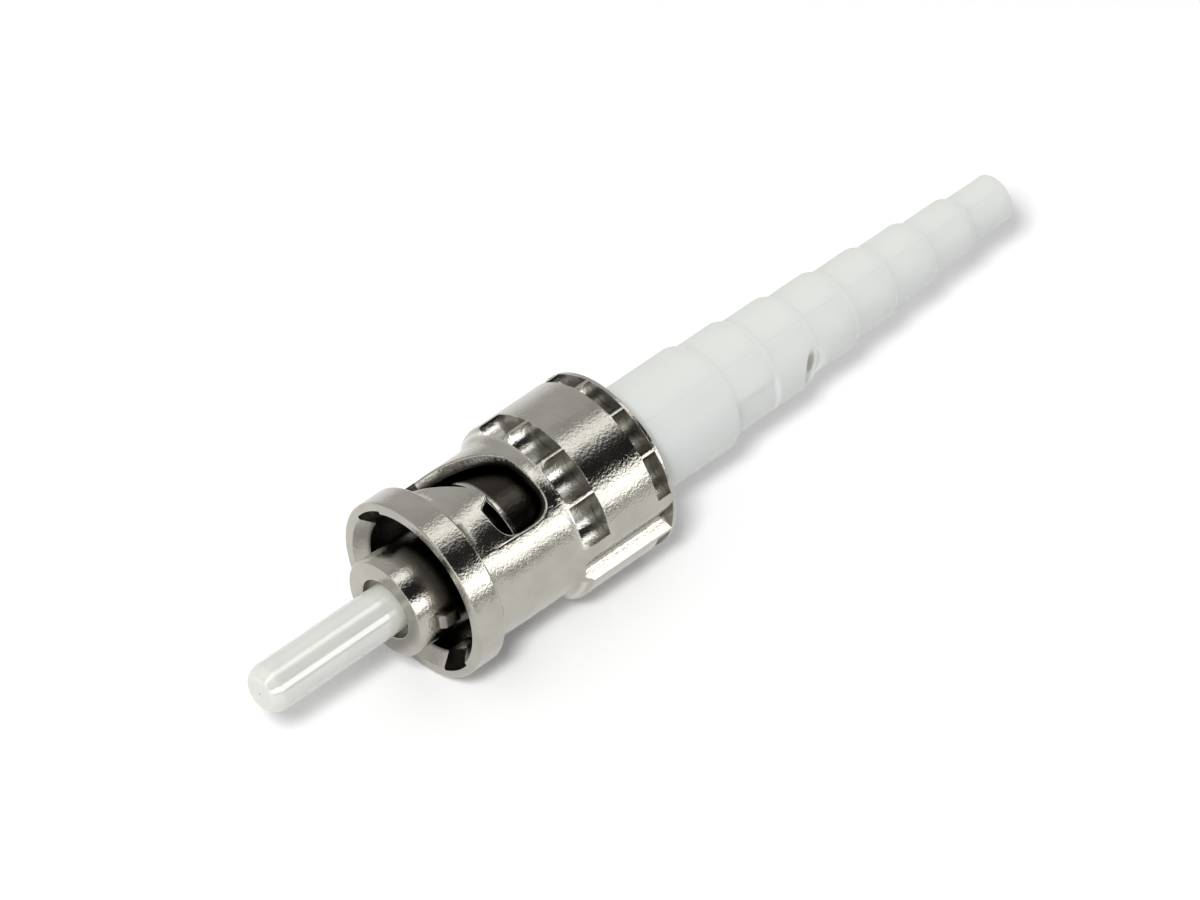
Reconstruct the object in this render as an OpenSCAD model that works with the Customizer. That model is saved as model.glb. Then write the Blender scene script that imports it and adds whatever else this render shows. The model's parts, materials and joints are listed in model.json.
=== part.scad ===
// ST fibre connector: a ceramic ferrule in a sprung barrel, held by a bayonet coupling nut,
// with a stepped strain relief boot behind it. Millimetres.
// The connector lies along X. The origin is on its axis, in the front face of the barrel: the ferrule
// stands out toward -X and the boot runs back toward +X. Angles round the axis start at +Z, turning to -Y.

/* [Ferrule] */
// Diameter of the ferrule
ferrule_d = 2.5; // [2:0.01:3]
// Length of ferrule that stands out of the barrel
ferrule_out = 7.9; // [6:0.1:10]
// Length of ferrule pressed into the barrel
ferrule_hold = 6.9; // [5.5:0.1:8.5]
// Diameter of the flat end face of the ferrule
ferrule_tip_d = 1.86; // [1.4:0.02:2]
// Length of the chamfer behind the end face
ferrule_chamfer = 0.54; // [0.3:0.02:0.8]
// Diameter of the bore for the bare fibre
fibre_d = 0.126; // [0.1:0.001:0.15]
// Diameter of the funnel at the back of the ferrule
funnel_d = 0.9; // [0.6:0.05:1.2]
// Length of the funnel at the back of the ferrule
funnel_len = 1.2; // [0.8:0.1:1.6]
// Taper of the held part, on the radius, for pressing in
hold_taper = 0.01; // [0.005:0.005:0.03]

/* [Barrel] */
// Diameter of the sleeve round the ferrule
sleeve_d = 5.12; // [4.6:0.01:5.4]
// Length of the sleeve, from its face to the flange
sleeve_len = 6.2; // [5.4:0.1:7]
// Diameter of the open mouth round the ferrule
mouth_d = 3.15; // [3.05:0.05:3.8]
// Depth of the open mouth
mouth_len = 0.6; // [0.4:0.1:1.2]
// Edge break on the sleeve's face
sleeve_edge = 0.12; // [0.05:0.01:0.2]
// Diameter of the flange that the spring pushes on
flange_d = 6.6; // [6:0.05:6.7]
// Thickness of the flange
flange_len = 2.25; // [1.8:0.05:2.4]
// Edge break on the flange
flange_edge = 0.18; // [0.05:0.01:0.25]
// Diameter of the neck that the nut slides and turns on
neck_d = 4.7; // [4.4:0.05:4.9]
// Length of neck behind the retaining ring
neck_end_len = 0.68; // [0.4:0.02:1]
// Diameter of the ribbed tail that the boot is pushed over
tail_d = 4; // [3.6:0.05:4.3]
// Length of the ribbed tail
tail_len = 5; // [4:0.1:5.5]
// Number of grooves round the tail
tail_grooves = 4; // [2:1:5]
// Depth of each groove on the tail
tail_groove_depth = 0.18; // [0.1:0.02:0.3]

/* [Alignment key] */
// Distance of the key behind the barrel's face
key_from_face = 1; // [0.8:0.05:1.6]
// Length of the key along the barrel
key_len = 1.15; // [0.8:0.05:1.5]
// Width of the key
key_w = 0.75; // [0.6:0.05:1]
// Height of the key over the sleeve
key_h = 0.42; // [0.3:0.02:0.55]
// Depth of the key's seat in the sleeve
key_seat = 0.4; // [0.3:0.02:0.5]
// Angle of the key round the barrel
key_angle = 80; // [0:5:355]

/* [Spring, washer and ring] */
// Wire diameter of the spring
wire_d = 0.5; // [0.4:0.01:0.52]
// Mean diameter of the spring
spring_d = 5.9; // [5.75:0.05:6]
// Length of the spring as assembled
spring_len = 3.65; // [3.4:0.05:4]
// Open turns of the spring
open_turns = 1.4; // [1:0.1:1.8]
// Turns that lie closed at each end of the spring
closed_turns = 0.8; // [0.5:0.1:1]
// Thickness of the washer behind the spring
washer_t = 0.25; // [0.15:0.01:0.35]
// Diameter of the washer
washer_d = 6.6; // [6.2:0.05:6.7]
// Thickness of the retaining ring
ring_t = 0.4; // [0.3:0.02:0.5]
// Outer diameter of the retaining ring
ring_d = 6; // [5.6:0.05:6.2]
// Depth of the ring's groove in the neck
ring_groove = 0.32; // [0.2:0.02:0.45]
// Open angle of the split in the retaining ring
ring_split = 48; // [20:2:80]

/* [Coupling nut] */
// Bore of the nut's front end
nut_bore_d = 7.2; // [7.1:0.05:7.4]
// Wall of the slotted tube
tube_wall = 0.6; // [0.5:0.02:0.8]
// Length of the nut
nut_len = 12.68; // [12:0.02:13.4]
// Depth of the nut's bore, down to its shoulder
nut_bore_len = 10.72; // [10.3:0.02:11]
// Thickness of the shoulder that bears on the washer and the retaining ring
shoulder_len = 1.1; // [0.8:0.05:1.3]
// Bore of the rear part of the nut, where the spring runs
spring_bore_d = 6.95; // [6.8:0.05:7.05]
// Diameter of the recess in the nut's rear face
recess_d = 6.5; // [6.3:0.05:6.9]
// Diameter of the lead-in at the nut's front face
lead_in_d = 8.4; // [8:0.05:8.6]
// Depth of the lead-in
lead_in_len = 0.6; // [0.4:0.05:0.8]
// Height of the front rim over the tube
rim_h = 0.575; // [0.4:0.025:0.7]
// Length of the front rim
rim_len = 1.48; // [1.2:0.02:1.8]
// Length of the slope behind the front rim
rim_slope = 0.5; // [0.3:0.02:0.7]
// Edge break on the nut's rims
nut_edge = 0.08; // [0.04:0.01:0.12]

/* [Bayonet slots] */
// Angle of the start of the first slot, the second one is opposite
slot_from = -60; // [-75:1:-45]
// Width of the entry groove, as an angle
entry_angle = 28.5; // [24:0.5:32]
// Diameter of the entry groove's floor inside the front rim
entry_d = 8.7; // [8.5:0.05:9]
// Turn of the stud from the slot's start to the slot's end
slot_turn = 102.8; // [95:0.2:110]
// Distance from the nut's front face to the slot's rear edge
slot_back = 6.48; // [6.2:0.02:6.6]
// Width of the detent at the slot's end, along the nut
detent_w = 3.04; // [2.8:0.02:3.2]
// Angle between the middle of the detent and the slot's end
detent_angle = 20.7; // [18:0.1:23]
// Rise of the slot's front edge for each degree of turn
slot_lead = 0.0543; // [0.045:0.001:0.06]
// Height of the tongue's tip over the floor of the detent
tongue_h = 0.8; // [0.5:0.05:1]
// where the tongue's tip begins to fall and where it ends, in degrees before the detent's middle
tongue_fall_from = 13.5; // [10:0.5:18]
tongue_fall_to = 4.5; // [2:0.5:8]
// how softly the helical edge runs into the tongue
tongue_round = 0.18; // [0.05:0.01:0.3]
// Rise of the slot's rear edge along its ramp
ramp_rise = 3.05; // [2.6:0.05:3.3]
// Turn over which the rear edge rises
ramp_turn = 58; // [50:1:65]

/* [Grip] */
// Height of the grip over the tube
grip_h = 0.555; // [0.4:0.005:0.7]
// Distance from the nut's front face to the foot of the grip
grip_from = 6.62; // [6.6:0.01:6.8]
// Length of the rounded slope at the front of the grip
grip_slope = 0.85; // [0.6:0.05:1]
// Number of flutes round the grip
flutes = 12; // [8:2:14]
// Depth of a flute
flute_depth = 0.9; // [0.6:0.05:1]
// Share of its pitch that a flute takes
flute_share = 0.93; // [0.8:0.01:0.96]
// Distance from the nut's front face to the front end of the flutes
flute_from = 7.05; // [6.95:0.01:7.15]
// Distance from the nut's front face to the plain band
band_from = 8.53; // [8.4:0.01:8.8]
// Length of the plain band
band_len = 3.1; // [2.8:0.05:3.3]
// Length of the plain rear rim
rear_rim_len = 0.25; // [0.2:0.01:0.4]
// Depth of the two long flutes
long_flute_depth = 0.65; // [0.4:0.05:0.8]
// Width of the two long flutes
long_flute_w = 2.1; // [1.9:0.05:2.4]
// Turn of the two long flutes past the even spacing
long_flute_turn = 1.5; // [0:0.5:3]

/* [Strain relief boot] */
// Diameter of the boot's first segment
boot_d = 5.72; // [5.4:0.02:6]
// Diameter of the boot's last segment
boot_tail_d = 2.5; // [2.3:0.05:2.8]
// Length of the first segment
boot_base_len = 5.7; // [5.4:0.05:6.2]
// Length of each further segment
segment_len = 2.84; // [2.4:0.02:3.2]
// Number of further segments
segments = 7; // [5:1:9]
// Rounding of the boot's tail end
tail_round = 0.2; // [0.1:0.02:0.3]
// Length of the rounded step between two segments
step_len = 0.6; // [0.3:0.02:0.8]
// Bore of the boot and its guide tube, for a buffered fibre
inlet_d = 1.1; // [1:0.05:1.3]
// Angle of the middle of the label panel round the boot
panel_angle = 120; // [0:5:355]
// Width of the label panel, as an angle
panel_width = 104; // [60:2:140]
// Rise of the label panel over the second segment
panel_rise = 0.1; // [0.05:0.01:0.15]
// the second of the two segments that it runs over
panel_segment = 2; // [1:1:4]
// Angle of the moulding gate's recess round the boot
gate_angle = 95; // [0:5:355]
// Distance from the boot's front end to the middle of the gate's recess
gate_from = 11.1; // [10:0.05:12]
// Length of the gate's recess along the boot
gate_len = 1.5; // [1:0.1:2]
// Width of the gate's recess
gate_w = 2.6; // [2:0.1:3]
// Distance from the boot's axis to the recess's floor
gate_floor = 1.95; // [1.6:0.05:2.1]

/* [Guide tube] */
// Outer diameter of the guide tube
tube_d = 1.9; // [1.7:0.05:2]
// Length of guide tube behind the barrel
tube_out = 0.8; // [0.4:0.1:1.2]

/* [Fits] */
// Radial clearance of a pressed piece in its seat
press_gap = 0.01; // [0.005:0.001:0.02]
// Radial clearance of the boot and the guide tube on the barrel
slip_gap = 0.03; // [0.02:0.005:0.05]
// Radial running clearance of the nut and the washer on the neck
run_gap = 0.08; // [0.05:0.01:0.1]
// Axial clearance between the spring, the washer, the nut and the ring
seat_gap = 0.03; // [0.02:0.005:0.05]

/* [Hidden] */
$fn = 96;
cut = 0.1;                                    // how far a cutter passes a face

// places along the axis, from the barrel's face
ferrule_back = mouth_len + ferrule_hold;
flange_back = sleeve_len + flange_len;
spring_from = flange_back + seat_gap;
washer_from = spring_from + spring_len + seat_gap;
shoulder_from = washer_from + washer_t + seat_gap;
ring_from = shoulder_from + shoulder_len + seat_gap;
neck_end = ring_from + ring_t + seat_gap + neck_end_len;
tail_end = neck_end + tail_len;
nut_from = shoulder_from - nut_bore_len;
boot_len = boot_base_len + segments * segment_len;

// radii
sleeve_r = sleeve_d / 2;
neck_r = neck_d / 2;
tail_r = tail_d / 2;
guide_r = tube_d / 2;
nut_tube_r = nut_bore_d / 2 + tube_wall;
rim_r = nut_tube_r + rim_h;
grip_r = nut_tube_r + grip_h;
ring_seat_r = neck_r - ring_groove;
collar_r = neck_r + run_gap;

// the bayonet slot
slot_columns = 72;
slot_to = slot_from + slot_turn;
detent_mid = slot_to - detent_angle;
slot_mid = slot_back - detent_w / 2;
slot_top = slot_mid - detent_w / 2;
entry_end = rim_len + 0.84 * rim_slope;

// rounded slope from radius a to radius b over a length, as points [radius, place]
function eased(a, b, from, len, n = 10) =
  [for (i = [0:n]) [a + (b - a) * (1 - cos(180 * i / n)) / 2, from + len * i / n]];

// places a child along the axis: its Z becomes +X, its X becomes +Z
module on_axis(at = 0) {
  rotate([0, 90, 0]) rotate([0, 0, 180]) translate([0, 0, at]) children();
}

// a solid of revolution about the axis, from points [radius, place]
module turned(points) {
  rotate_extrude() polygon(points);
}

module ferrule() {
  color("#d8d8ce")
  on_axis(-ferrule_out)
  difference() {
    turned([
      [0, 0], [ferrule_tip_d / 2, 0], [ferrule_d / 2, ferrule_chamfer],
      [ferrule_d / 2, ferrule_out], [ferrule_d / 2 - hold_taper, ferrule_out + ferrule_back],
      [0, ferrule_out + ferrule_back]
    ]);
    translate([0, 0, -cut])
      cylinder(d = fibre_d, h = ferrule_out + ferrule_back + 2 * cut);
    translate([0, 0, ferrule_out + ferrule_back - funnel_len])
      cylinder(d1 = fibre_d, d2 = funnel_d, h = funnel_len + 0.001);
  }
}

module barrel() {
  tail_pitch = tail_len / (tail_grooves + 1);
  color("#b9b6ae")
  on_axis()
  difference() {
    turned([
      [0, 0], [sleeve_r - sleeve_edge, 0], [sleeve_r, sleeve_edge], [sleeve_r, sleeve_len],
      [flange_d / 2 - flange_edge, sleeve_len], [flange_d / 2, sleeve_len + flange_edge],
      [flange_d / 2, flange_back - flange_edge], [flange_d / 2 - flange_edge, flange_back],
      [neck_r, flange_back], [neck_r, ring_from - seat_gap], [ring_seat_r, ring_from - seat_gap],
      [ring_seat_r, ring_from + ring_t + seat_gap], [neck_r, ring_from + ring_t + seat_gap],
      [neck_r, neck_end], [tail_r, neck_end], [tail_r, tail_end - tail_groove_depth],
      [tail_r - tail_groove_depth, tail_end], [0, tail_end]
    ]);
    translate([0, 0, -cut]) cylinder(d = mouth_d, h = mouth_len + cut);
    cylinder(r = ferrule_d / 2 + press_gap, h = ferrule_back);
    cylinder(r = guide_r + slip_gap, h = tail_end + cut);
    for (i = [1:tail_grooves])
      translate([0, 0, neck_end + i * tail_pitch]) tail_groove();
    rotate([0, 0, key_angle]) translate([sleeve_r - key_seat, -key_w / 2 - press_gap, key_from_face])
      cube([sleeve_r, key_w + 2 * press_gap, key_len]);
  }
}

// V-shaped groove round the tail
module tail_groove() {
  turned([
    [tail_r + cut, -tail_groove_depth - cut], [tail_r - tail_groove_depth, 0],
    [tail_r + cut, tail_groove_depth + cut]
  ]);
}

module alignment_key() {
  top = sleeve_r + key_h;
  color("#c9c5ba")
  on_axis(key_from_face)
  rotate([0, 0, key_angle])
  translate([0, key_w / 2, press_gap])
  rotate([90, 0, 0])
  linear_extrude(key_w)
    polygon([
      [sleeve_r - key_seat + press_gap, 0], [top - key_h / 2, 0], [top, key_h / 2],
      [top, key_len - 2 * press_gap], [sleeve_r - key_seat + press_gap, key_len - 2 * press_gap]
    ]);
}

// height of the wire's middle after a number of turns: closed, open, closed
function coil_height(turn) =
  let (closed_pitch = wire_d * 1.02,
       open_pitch = (spring_len - wire_d - 2 * closed_turns * closed_pitch) / open_turns,
       open = min(max(turn - closed_turns, 0), open_turns))
  wire_d / 2 + (turn - open) * closed_pitch + open * open_pitch;

module spring() {
  sides = 10;
  steps = 30;
  turns = open_turns + 2 * closed_turns;
  rings = round(turns * steps);
  points = [
    for (i = [0:rings], j = [0:sides - 1])
      let (turn = turns * i / rings, a = 360 * j / sides,
           r = spring_d / 2 + wire_d / 2 * cos(a))
      [r * cos(360 * turn), r * sin(360 * turn), coil_height(turn) + wire_d / 2 * sin(a)]
  ];
  faces = concat(
    [[for (j = [0:sides - 1]) j]],
    [for (i = [0:rings - 1], j = [0:sides - 1])
      let (k = (j + 1) % sides)
      [i * sides + j, (i + 1) * sides + j, (i + 1) * sides + k, i * sides + k]],
    [[for (j = [sides - 1:-1:0]) rings * sides + j]]
  );
  color("#8f8d88")
  on_axis(spring_from)
  polyhedron(points = points, faces = faces, convexity = 6);
}

module thrust_washer() {
  color("#9b9993")
  on_axis(washer_from)
  difference() {
    cylinder(d = washer_d, h = washer_t);
    translate([0, 0, -cut]) cylinder(r = collar_r, h = washer_t + 2 * cut);
  }
}

module retaining_ring() {
  color("#8a8782")
  on_axis(ring_from)
  rotate([0, 0, ring_split / 2])
  rotate_extrude(angle = 360 - ring_split)
    translate([ring_seat_r + press_gap, 0])
      square([ring_d / 2 - ring_seat_r - press_gap, ring_t]);
}

module guide_tube() {
  color("#e6e4dc")
  on_axis(ferrule_back + seat_gap)
  difference() {
    cylinder(d = tube_d, h = tail_end - ferrule_back - seat_gap + tube_out);
    translate([0, 0, -cut])
      cylinder(d = inlet_d, h = tail_end - ferrule_back + tube_out + 2 * cut);
  }
}

// rear edge of the slot at an angle: a ramp that flattens out, then the rounded end of the detent
function slot_rear(a) =
  let (left = max(slot_from + ramp_turn - a, 0) / ramp_turn)
  a < detent_mid ? slot_back - ramp_rise * pow(left, 1.5) : slot_mid + detent_half(a);

// half the width of the detent at an angle past its middle
function detent_half(a) =
  detent_w / 2 * pow(1 - pow((a - detent_mid) / detent_angle, 3), 1 / 3);

// front edge of the slot at an angle: the tongue's helical edge, its rounded tip, then the detent
function slot_front(a) =
  let (tongue_top = slot_top + tongue_h,
       helix = entry_end + slot_lead * (a - slot_from - 0.7 * entry_angle),
       edge = tongue_top - tongue_round * ln(1 + exp((tongue_top - helix) / tongue_round)),
       fall = min(max((a - detent_mid + tongue_fall_from) / (tongue_fall_from - tongue_fall_to), 0), 1))
  a > detent_mid ? slot_mid - detent_half(a)
    : max(entry_end, edge - (edge - slot_top) * fall * fall * (3 - 2 * fall));

// the slot as one closed strip through the wall, from inside the bore to outside the rim
module slot_cutter() {
  reach = (slot_turn - 0.02) / slot_turn;
  angles = [for (i = [0:slot_columns])
    slot_from - 0.5 + (slot_turn + 0.5) * reach * sin(90 * i / slot_columns)];
  inner = nut_bore_d / 2 - 0.4;
  outer = rim_r + 0.4;
  points = [
    for (a = angles, corner = [[inner, 0], [outer, 0], [outer, 1], [inner, 1]])
      let (r = corner[0], z = corner[1] == 0 ? slot_front(a) : slot_rear(a))
      [r * cos(a), r * sin(a), z]
  ];
  last = 4 * slot_columns;
  faces = concat(
    [[3, 2, 1, 0]],
    [for (i = [0:slot_columns - 1], k = [0:3])
      let (b = 4 * i, n = (k + 1) % 4) [b + k, b + n, b + 4 + n]],
    [for (i = [0:slot_columns - 1], k = [0:3])
      let (b = 4 * i, n = (k + 1) % 4) [b + k, b + 4 + n, b + 4 + k]],
    [[last, last + 1, last + 2, last + 3]]
  );
  polyhedron(points = points, faces = faces, convexity = 4);
}

// groove through the front rim, inside it, by which a stud enters the slot
module entry_cutter() {
  rotate([0, 0, slot_from])
  rotate_extrude(angle = entry_angle)
    translate([nut_bore_d / 2 - 0.5, -cut])
      square([(entry_d - nut_bore_d) / 2 + 0.5, entry_end + 2 * cut]);
}

// round flute along the grip, from one place to another, of a depth and a width at the grip's surface
module flute(from, to, depth, width) {
  edge_x = sqrt(grip_r * grip_r - width * width / 4);
  deep = depth - (grip_r - edge_x);
  r = (width * width / 4 + deep * deep) / (2 * deep);
  translate([grip_r - depth + r, 0, from]) cylinder(r = r, h = to - from, $fn = 64);
}

// outline of the nut, as a solid of revolution
module nut_blank() {
  turned(concat(
    [[0, 0], [rim_r - nut_edge, 0], [rim_r, nut_edge], [rim_r, rim_len]],
    eased(rim_r, nut_tube_r, rim_len, rim_slope, 6),
    eased(nut_tube_r, grip_r, grip_from, grip_slope, 10),
    [[grip_r, nut_len - nut_edge], [grip_r - nut_edge, nut_len], [0, nut_len]]
  ));
}

// everything inside the nut
module nut_bores() {
  translate([0, 0, -cut])
    cylinder(r1 = lead_in_d / 2 + cut * (lead_in_d - nut_bore_d) / 2 / lead_in_len, r2 = nut_bore_d / 2,
             h = lead_in_len + cut);
  translate([0, 0, lead_in_len / 2]) cylinder(d = nut_bore_d, h = grip_from - lead_in_len / 2);
  translate([0, 0, grip_from - cut]) cylinder(d = spring_bore_d, h = nut_bore_len - grip_from + cut);
  cylinder(r = collar_r, h = nut_len);
  translate([0, 0, nut_bore_len + shoulder_len])
    cylinder(d = recess_d, h = nut_len);
}

module coupling_nut() {
  pitch = 360 / flutes;
  flute_w = 2 * grip_r * sin(pitch / 2 * flute_share);
  flute_to = nut_len - rear_rim_len;
  color("#b5b1a7")
  on_axis(nut_from)
  difference() {
    nut_blank();
    nut_bores();
    for (side = [0, 180]) rotate([0, 0, side]) {
      slot_cutter();
      entry_cutter();
    }
    for (i = [0:flutes - 1]) rotate([0, 0, i * pitch]) {
      past_long = i % (flutes / 2) - flutes / 4;
      if (past_long == 0)
        rotate([0, 0, long_flute_turn]) flute(flute_from, flute_to, long_flute_depth, long_flute_w);
      else {
        if (past_long != 1) flute(flute_from, band_from, flute_depth, flute_w);
        flute(band_from + band_len, flute_to, flute_depth, flute_w);
      }
    }
  }
}

// radius of a boot segment, the first one is number 0
function segment_r(i) = (boot_d + (boot_tail_d - boot_d) * i / segments) / 2;

// where a segment ends
function segment_end(i) = boot_base_len + i * segment_len;

// the label panel's surface: a cylinder that runs over two segments, and leans out on the label side
module panel_core(from, to) {
  lean = 1.5 * panel_rise;
  rotate([0, 0, panel_angle]) translate([lean, 0, from])
    cylinder(r = segment_r(panel_segment) + panel_rise - lean, h = to - from);
}

// what the label panel takes off the first segment
module panel_cut(from, to) {
  difference() {
    rotate([0, 0, panel_angle - panel_width / 2])
      rotate_extrude(angle = panel_width)
        translate([segment_r(panel_segment), from])
          square([segment_r(0) - segment_r(panel_segment), to - from]);
    panel_core(from - cut, to + cut);
  }
}

// the boot's outside: a stack of segments, with the label panel over the first step on one side
module boot_body() {
  difference() {
    turned(concat(
      [[0, 0], [segment_r(0) - 0.15, 0], [segment_r(0), 0.15]],
      [for (i = [0:segments - 1], point =
        eased(segment_r(i), segment_r(i + 1), segment_end(i) - step_len / 2, step_len, 8)) point],
      eased(boot_tail_d / 2, boot_tail_d / 2 - tail_round, boot_len - 1.5 * tail_round, 1.5 * tail_round, 4),
      [[0, boot_len]]
    ));
    panel_cut(segment_end(panel_segment - 2) + step_len / 2,
              segment_end(panel_segment - 1) + step_len / 2);
  }
  panel_core(segment_end(panel_segment - 1) - step_len / 2, segment_end(panel_segment) - step_len);
}

module strain_relief_boot() {
  socket_len = tail_len + slip_gap;
  color("#e3e6e1")
  on_axis(neck_end)
  difference() {
    boot_body();
    translate([0, 0, -cut]) cylinder(r = tail_r + slip_gap, h = socket_len + cut);
    cylinder(r = guide_r + slip_gap, h = socket_len + tube_out + slip_gap);
    cylinder(d = inlet_d, h = boot_len + cut);
    rotate([0, 0, gate_angle]) translate([gate_floor, 0, gate_from]) rotate([0, 90, 0])
      linear_extrude(boot_d)
        polygon([for (a = [0:10:350]) [gate_len / 2 * cos(a), gate_w / 2 * sin(a)]]);
  }
}

ferrule();
barrel();
alignment_key();
spring();
thrust_washer();
coupling_nut();
retaining_ring();
guide_tube();
strain_relief_boot();
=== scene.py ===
import json
import math

import bmesh
import bpy
import numpy as np
from bpy.props import FloatProperty, FloatVectorProperty, IntProperty, PointerProperty
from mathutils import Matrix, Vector


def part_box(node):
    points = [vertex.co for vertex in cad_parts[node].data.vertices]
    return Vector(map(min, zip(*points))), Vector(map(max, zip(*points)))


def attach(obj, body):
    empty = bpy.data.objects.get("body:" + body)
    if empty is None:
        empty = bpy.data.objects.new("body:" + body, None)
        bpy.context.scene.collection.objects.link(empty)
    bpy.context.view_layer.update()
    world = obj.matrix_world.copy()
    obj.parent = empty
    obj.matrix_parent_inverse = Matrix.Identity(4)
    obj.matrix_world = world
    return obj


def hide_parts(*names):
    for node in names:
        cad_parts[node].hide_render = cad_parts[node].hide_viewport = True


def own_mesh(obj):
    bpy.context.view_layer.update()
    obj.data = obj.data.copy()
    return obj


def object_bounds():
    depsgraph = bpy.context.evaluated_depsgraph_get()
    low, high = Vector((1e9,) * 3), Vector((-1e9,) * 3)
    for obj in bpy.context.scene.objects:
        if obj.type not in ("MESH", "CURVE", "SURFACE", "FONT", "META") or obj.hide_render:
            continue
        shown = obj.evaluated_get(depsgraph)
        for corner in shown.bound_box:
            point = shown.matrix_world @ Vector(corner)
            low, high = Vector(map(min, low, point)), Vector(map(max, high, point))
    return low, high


bl_info = {
    "name": "Bayonet Fibre Plug",
    "version": (1, 0, 0),
    "blender": (4, 5, 0),
    "location": "View3D > Sidebar > Fibre Plug",
    "description": "Dresses the packed pieces of a bayonet fibre plug",
    "category": "Object",
}

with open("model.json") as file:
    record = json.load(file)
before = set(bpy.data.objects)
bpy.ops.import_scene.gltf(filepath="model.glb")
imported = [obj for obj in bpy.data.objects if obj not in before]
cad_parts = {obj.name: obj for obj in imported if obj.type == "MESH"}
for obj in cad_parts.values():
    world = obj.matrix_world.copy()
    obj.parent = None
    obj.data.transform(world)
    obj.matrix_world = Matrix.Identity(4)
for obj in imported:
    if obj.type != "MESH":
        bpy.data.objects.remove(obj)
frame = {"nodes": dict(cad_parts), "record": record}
CAD_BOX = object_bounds()

MM = 0.001
DEGREE = math.radians(1)
FULL_TURN = 2 * math.pi


def ends(node):
    """Where a CAD node begins and ends along the axis, which starts at the barrel's front face."""
    low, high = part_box(node)
    return low.x, high.x


FERRULE_TIP, FERRULE_BACK = ends("ferrule")
BARREL_FRONT, BARREL_BACK = ends("barrel")
RING_FRONT, RING_BACK = ends("retaining_ring")
SPRING_FRONT, SPRING_BACK = ends("spring")
NUT_FRONT, NUT_BACK = ends("coupling_nut")
BOOT_FRONT, BOOT_BACK = ends("strain_relief_boot")
FLOOR_LEVEL = CAD_BOX[0][2]


# --- sizes and colours ---


def length(name, description, millimetres):
    """A length property, in metres, with its default given in millimetres."""
    return FloatProperty(
        name=name, description=description, default=millimetres * MM,
        min=0.0, precision=5, step=0.001, subtype="DISTANCE", unit="LENGTH",
    )


def angle(name, description, degrees):
    """An angle property, with its default given in degrees."""
    return FloatProperty(
        name=name, description=description, default=math.radians(degrees),
        subtype="ANGLE", unit="ROTATION",
    )


def whole(name, description, number, least=1):
    """A whole number."""
    return IntProperty(name=name, description=description, default=number, min=least)


def share(name, description, value, top=1.0):
    """A plain number from 0 to a top value."""
    return FloatProperty(name=name, description=description, default=value, min=0.0, max=top)


def colour(name, description, rgb):
    """A colour property, linear RGB."""
    return FloatVectorProperty(
        name=name, description=description, default=rgb, size=3, min=0.0, max=1.0, subtype="COLOR",
    )


class FerruleSizes(bpy.types.PropertyGroup):
    """Sizes of the ceramic ferrule."""

    diameter: length("Diameter", "Diameter of the ferrule", 2.5)
    tip: length("Tip diameter", "Diameter of the polished end face", 1.86)
    chamfer: length("Chamfer", "Length of the chamfer behind the end face", 0.54)
    edge: length("Edge", "Rounding of the chamfer's two edges", 0.16)
    dome: length("Dome", "How far the end face stands out in its middle", 0.02)
    fibre: length("Fibre hole", "Diameter of the hole for the fibre", 0.126)
    hold_taper: length("Held taper", "How much the held end tapers on the radius", 0.01)
    funnel: length("Funnel", "Diameter of the fibre's lead-in at the held end", 0.7)
    funnel_length: length("Funnel length", "Length of the fibre's lead-in", 1.1)


class BarrelSizes(bpy.types.PropertyGroup):
    """Sizes of the barrel and its alignment key."""

    sleeve: length("Sleeve diameter", "Diameter of the front sleeve", 5.12)
    sleeve_length: length("Sleeve length", "Length of the front sleeve", 6.2)
    mouth: length("Mouth diameter", "Diameter of the recess round the ferrule", 3.15)
    mouth_length: length("Mouth depth", "Depth of the recess round the ferrule", 0.6)
    edge: length("Edge", "Rounding of the sleeve's outer front edge", 0.10)
    mouth_edge: length("Mouth edge", "Rounding of the mouth's edge", 0.06)
    flange: length("Flange diameter", "Diameter of the flange behind the sleeve", 6.6)
    flange_length: length("Flange length", "Length of the flange", 2.25)
    flange_edge: length("Flange edge", "Rounding of the flange's edges", 0.16)
    neck: length("Neck diameter", "Diameter of the neck inside the nut", 4.7)
    groove: length("Ring groove", "Depth of the retaining ring's groove", 0.32)
    tail: length("Tail diameter", "Diameter of the grooved tail", 4.0)
    tail_groove: length("Tail groove", "Depth of a groove round the tail", 0.25)
    tail_grooves: whole("Tail grooves", "Number of grooves round the tail", 4, 0)
    guide: length("Guide bore", "Diameter of the bore round the guide tube", 1.96)
    key_angle: angle("Key angle", "Angle of the key, from up toward -Y", 80)
    key_from: length("Key place", "Distance of the key from the barrel's face", 1.0)
    key_length: length("Key length", "Length of the key", 1.15)
    key_width: length("Key width", "Width of the key", 0.75)
    key_height: length("Key height", "Height of the key over the sleeve", 0.42)
    key_seat: length("Key seat", "Depth of the key's seat in the sleeve", 0.4)
    key_edge: length("Key edge", "Rounding of the key's edges", 0.06)


class SpringSizes(bpy.types.PropertyGroup):
    """Sizes of the spring."""

    wire: length("Wire", "Diameter of the wire", 0.5)
    coil: length("Coil diameter", "Mean diameter of the coil", 5.9)
    open_turns: share("Open turns", "Turns that stand apart", 1.4, 20)
    closed_turns: share("Closed turns", "Turns that lie closed at each end", 0.8, 5)


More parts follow.
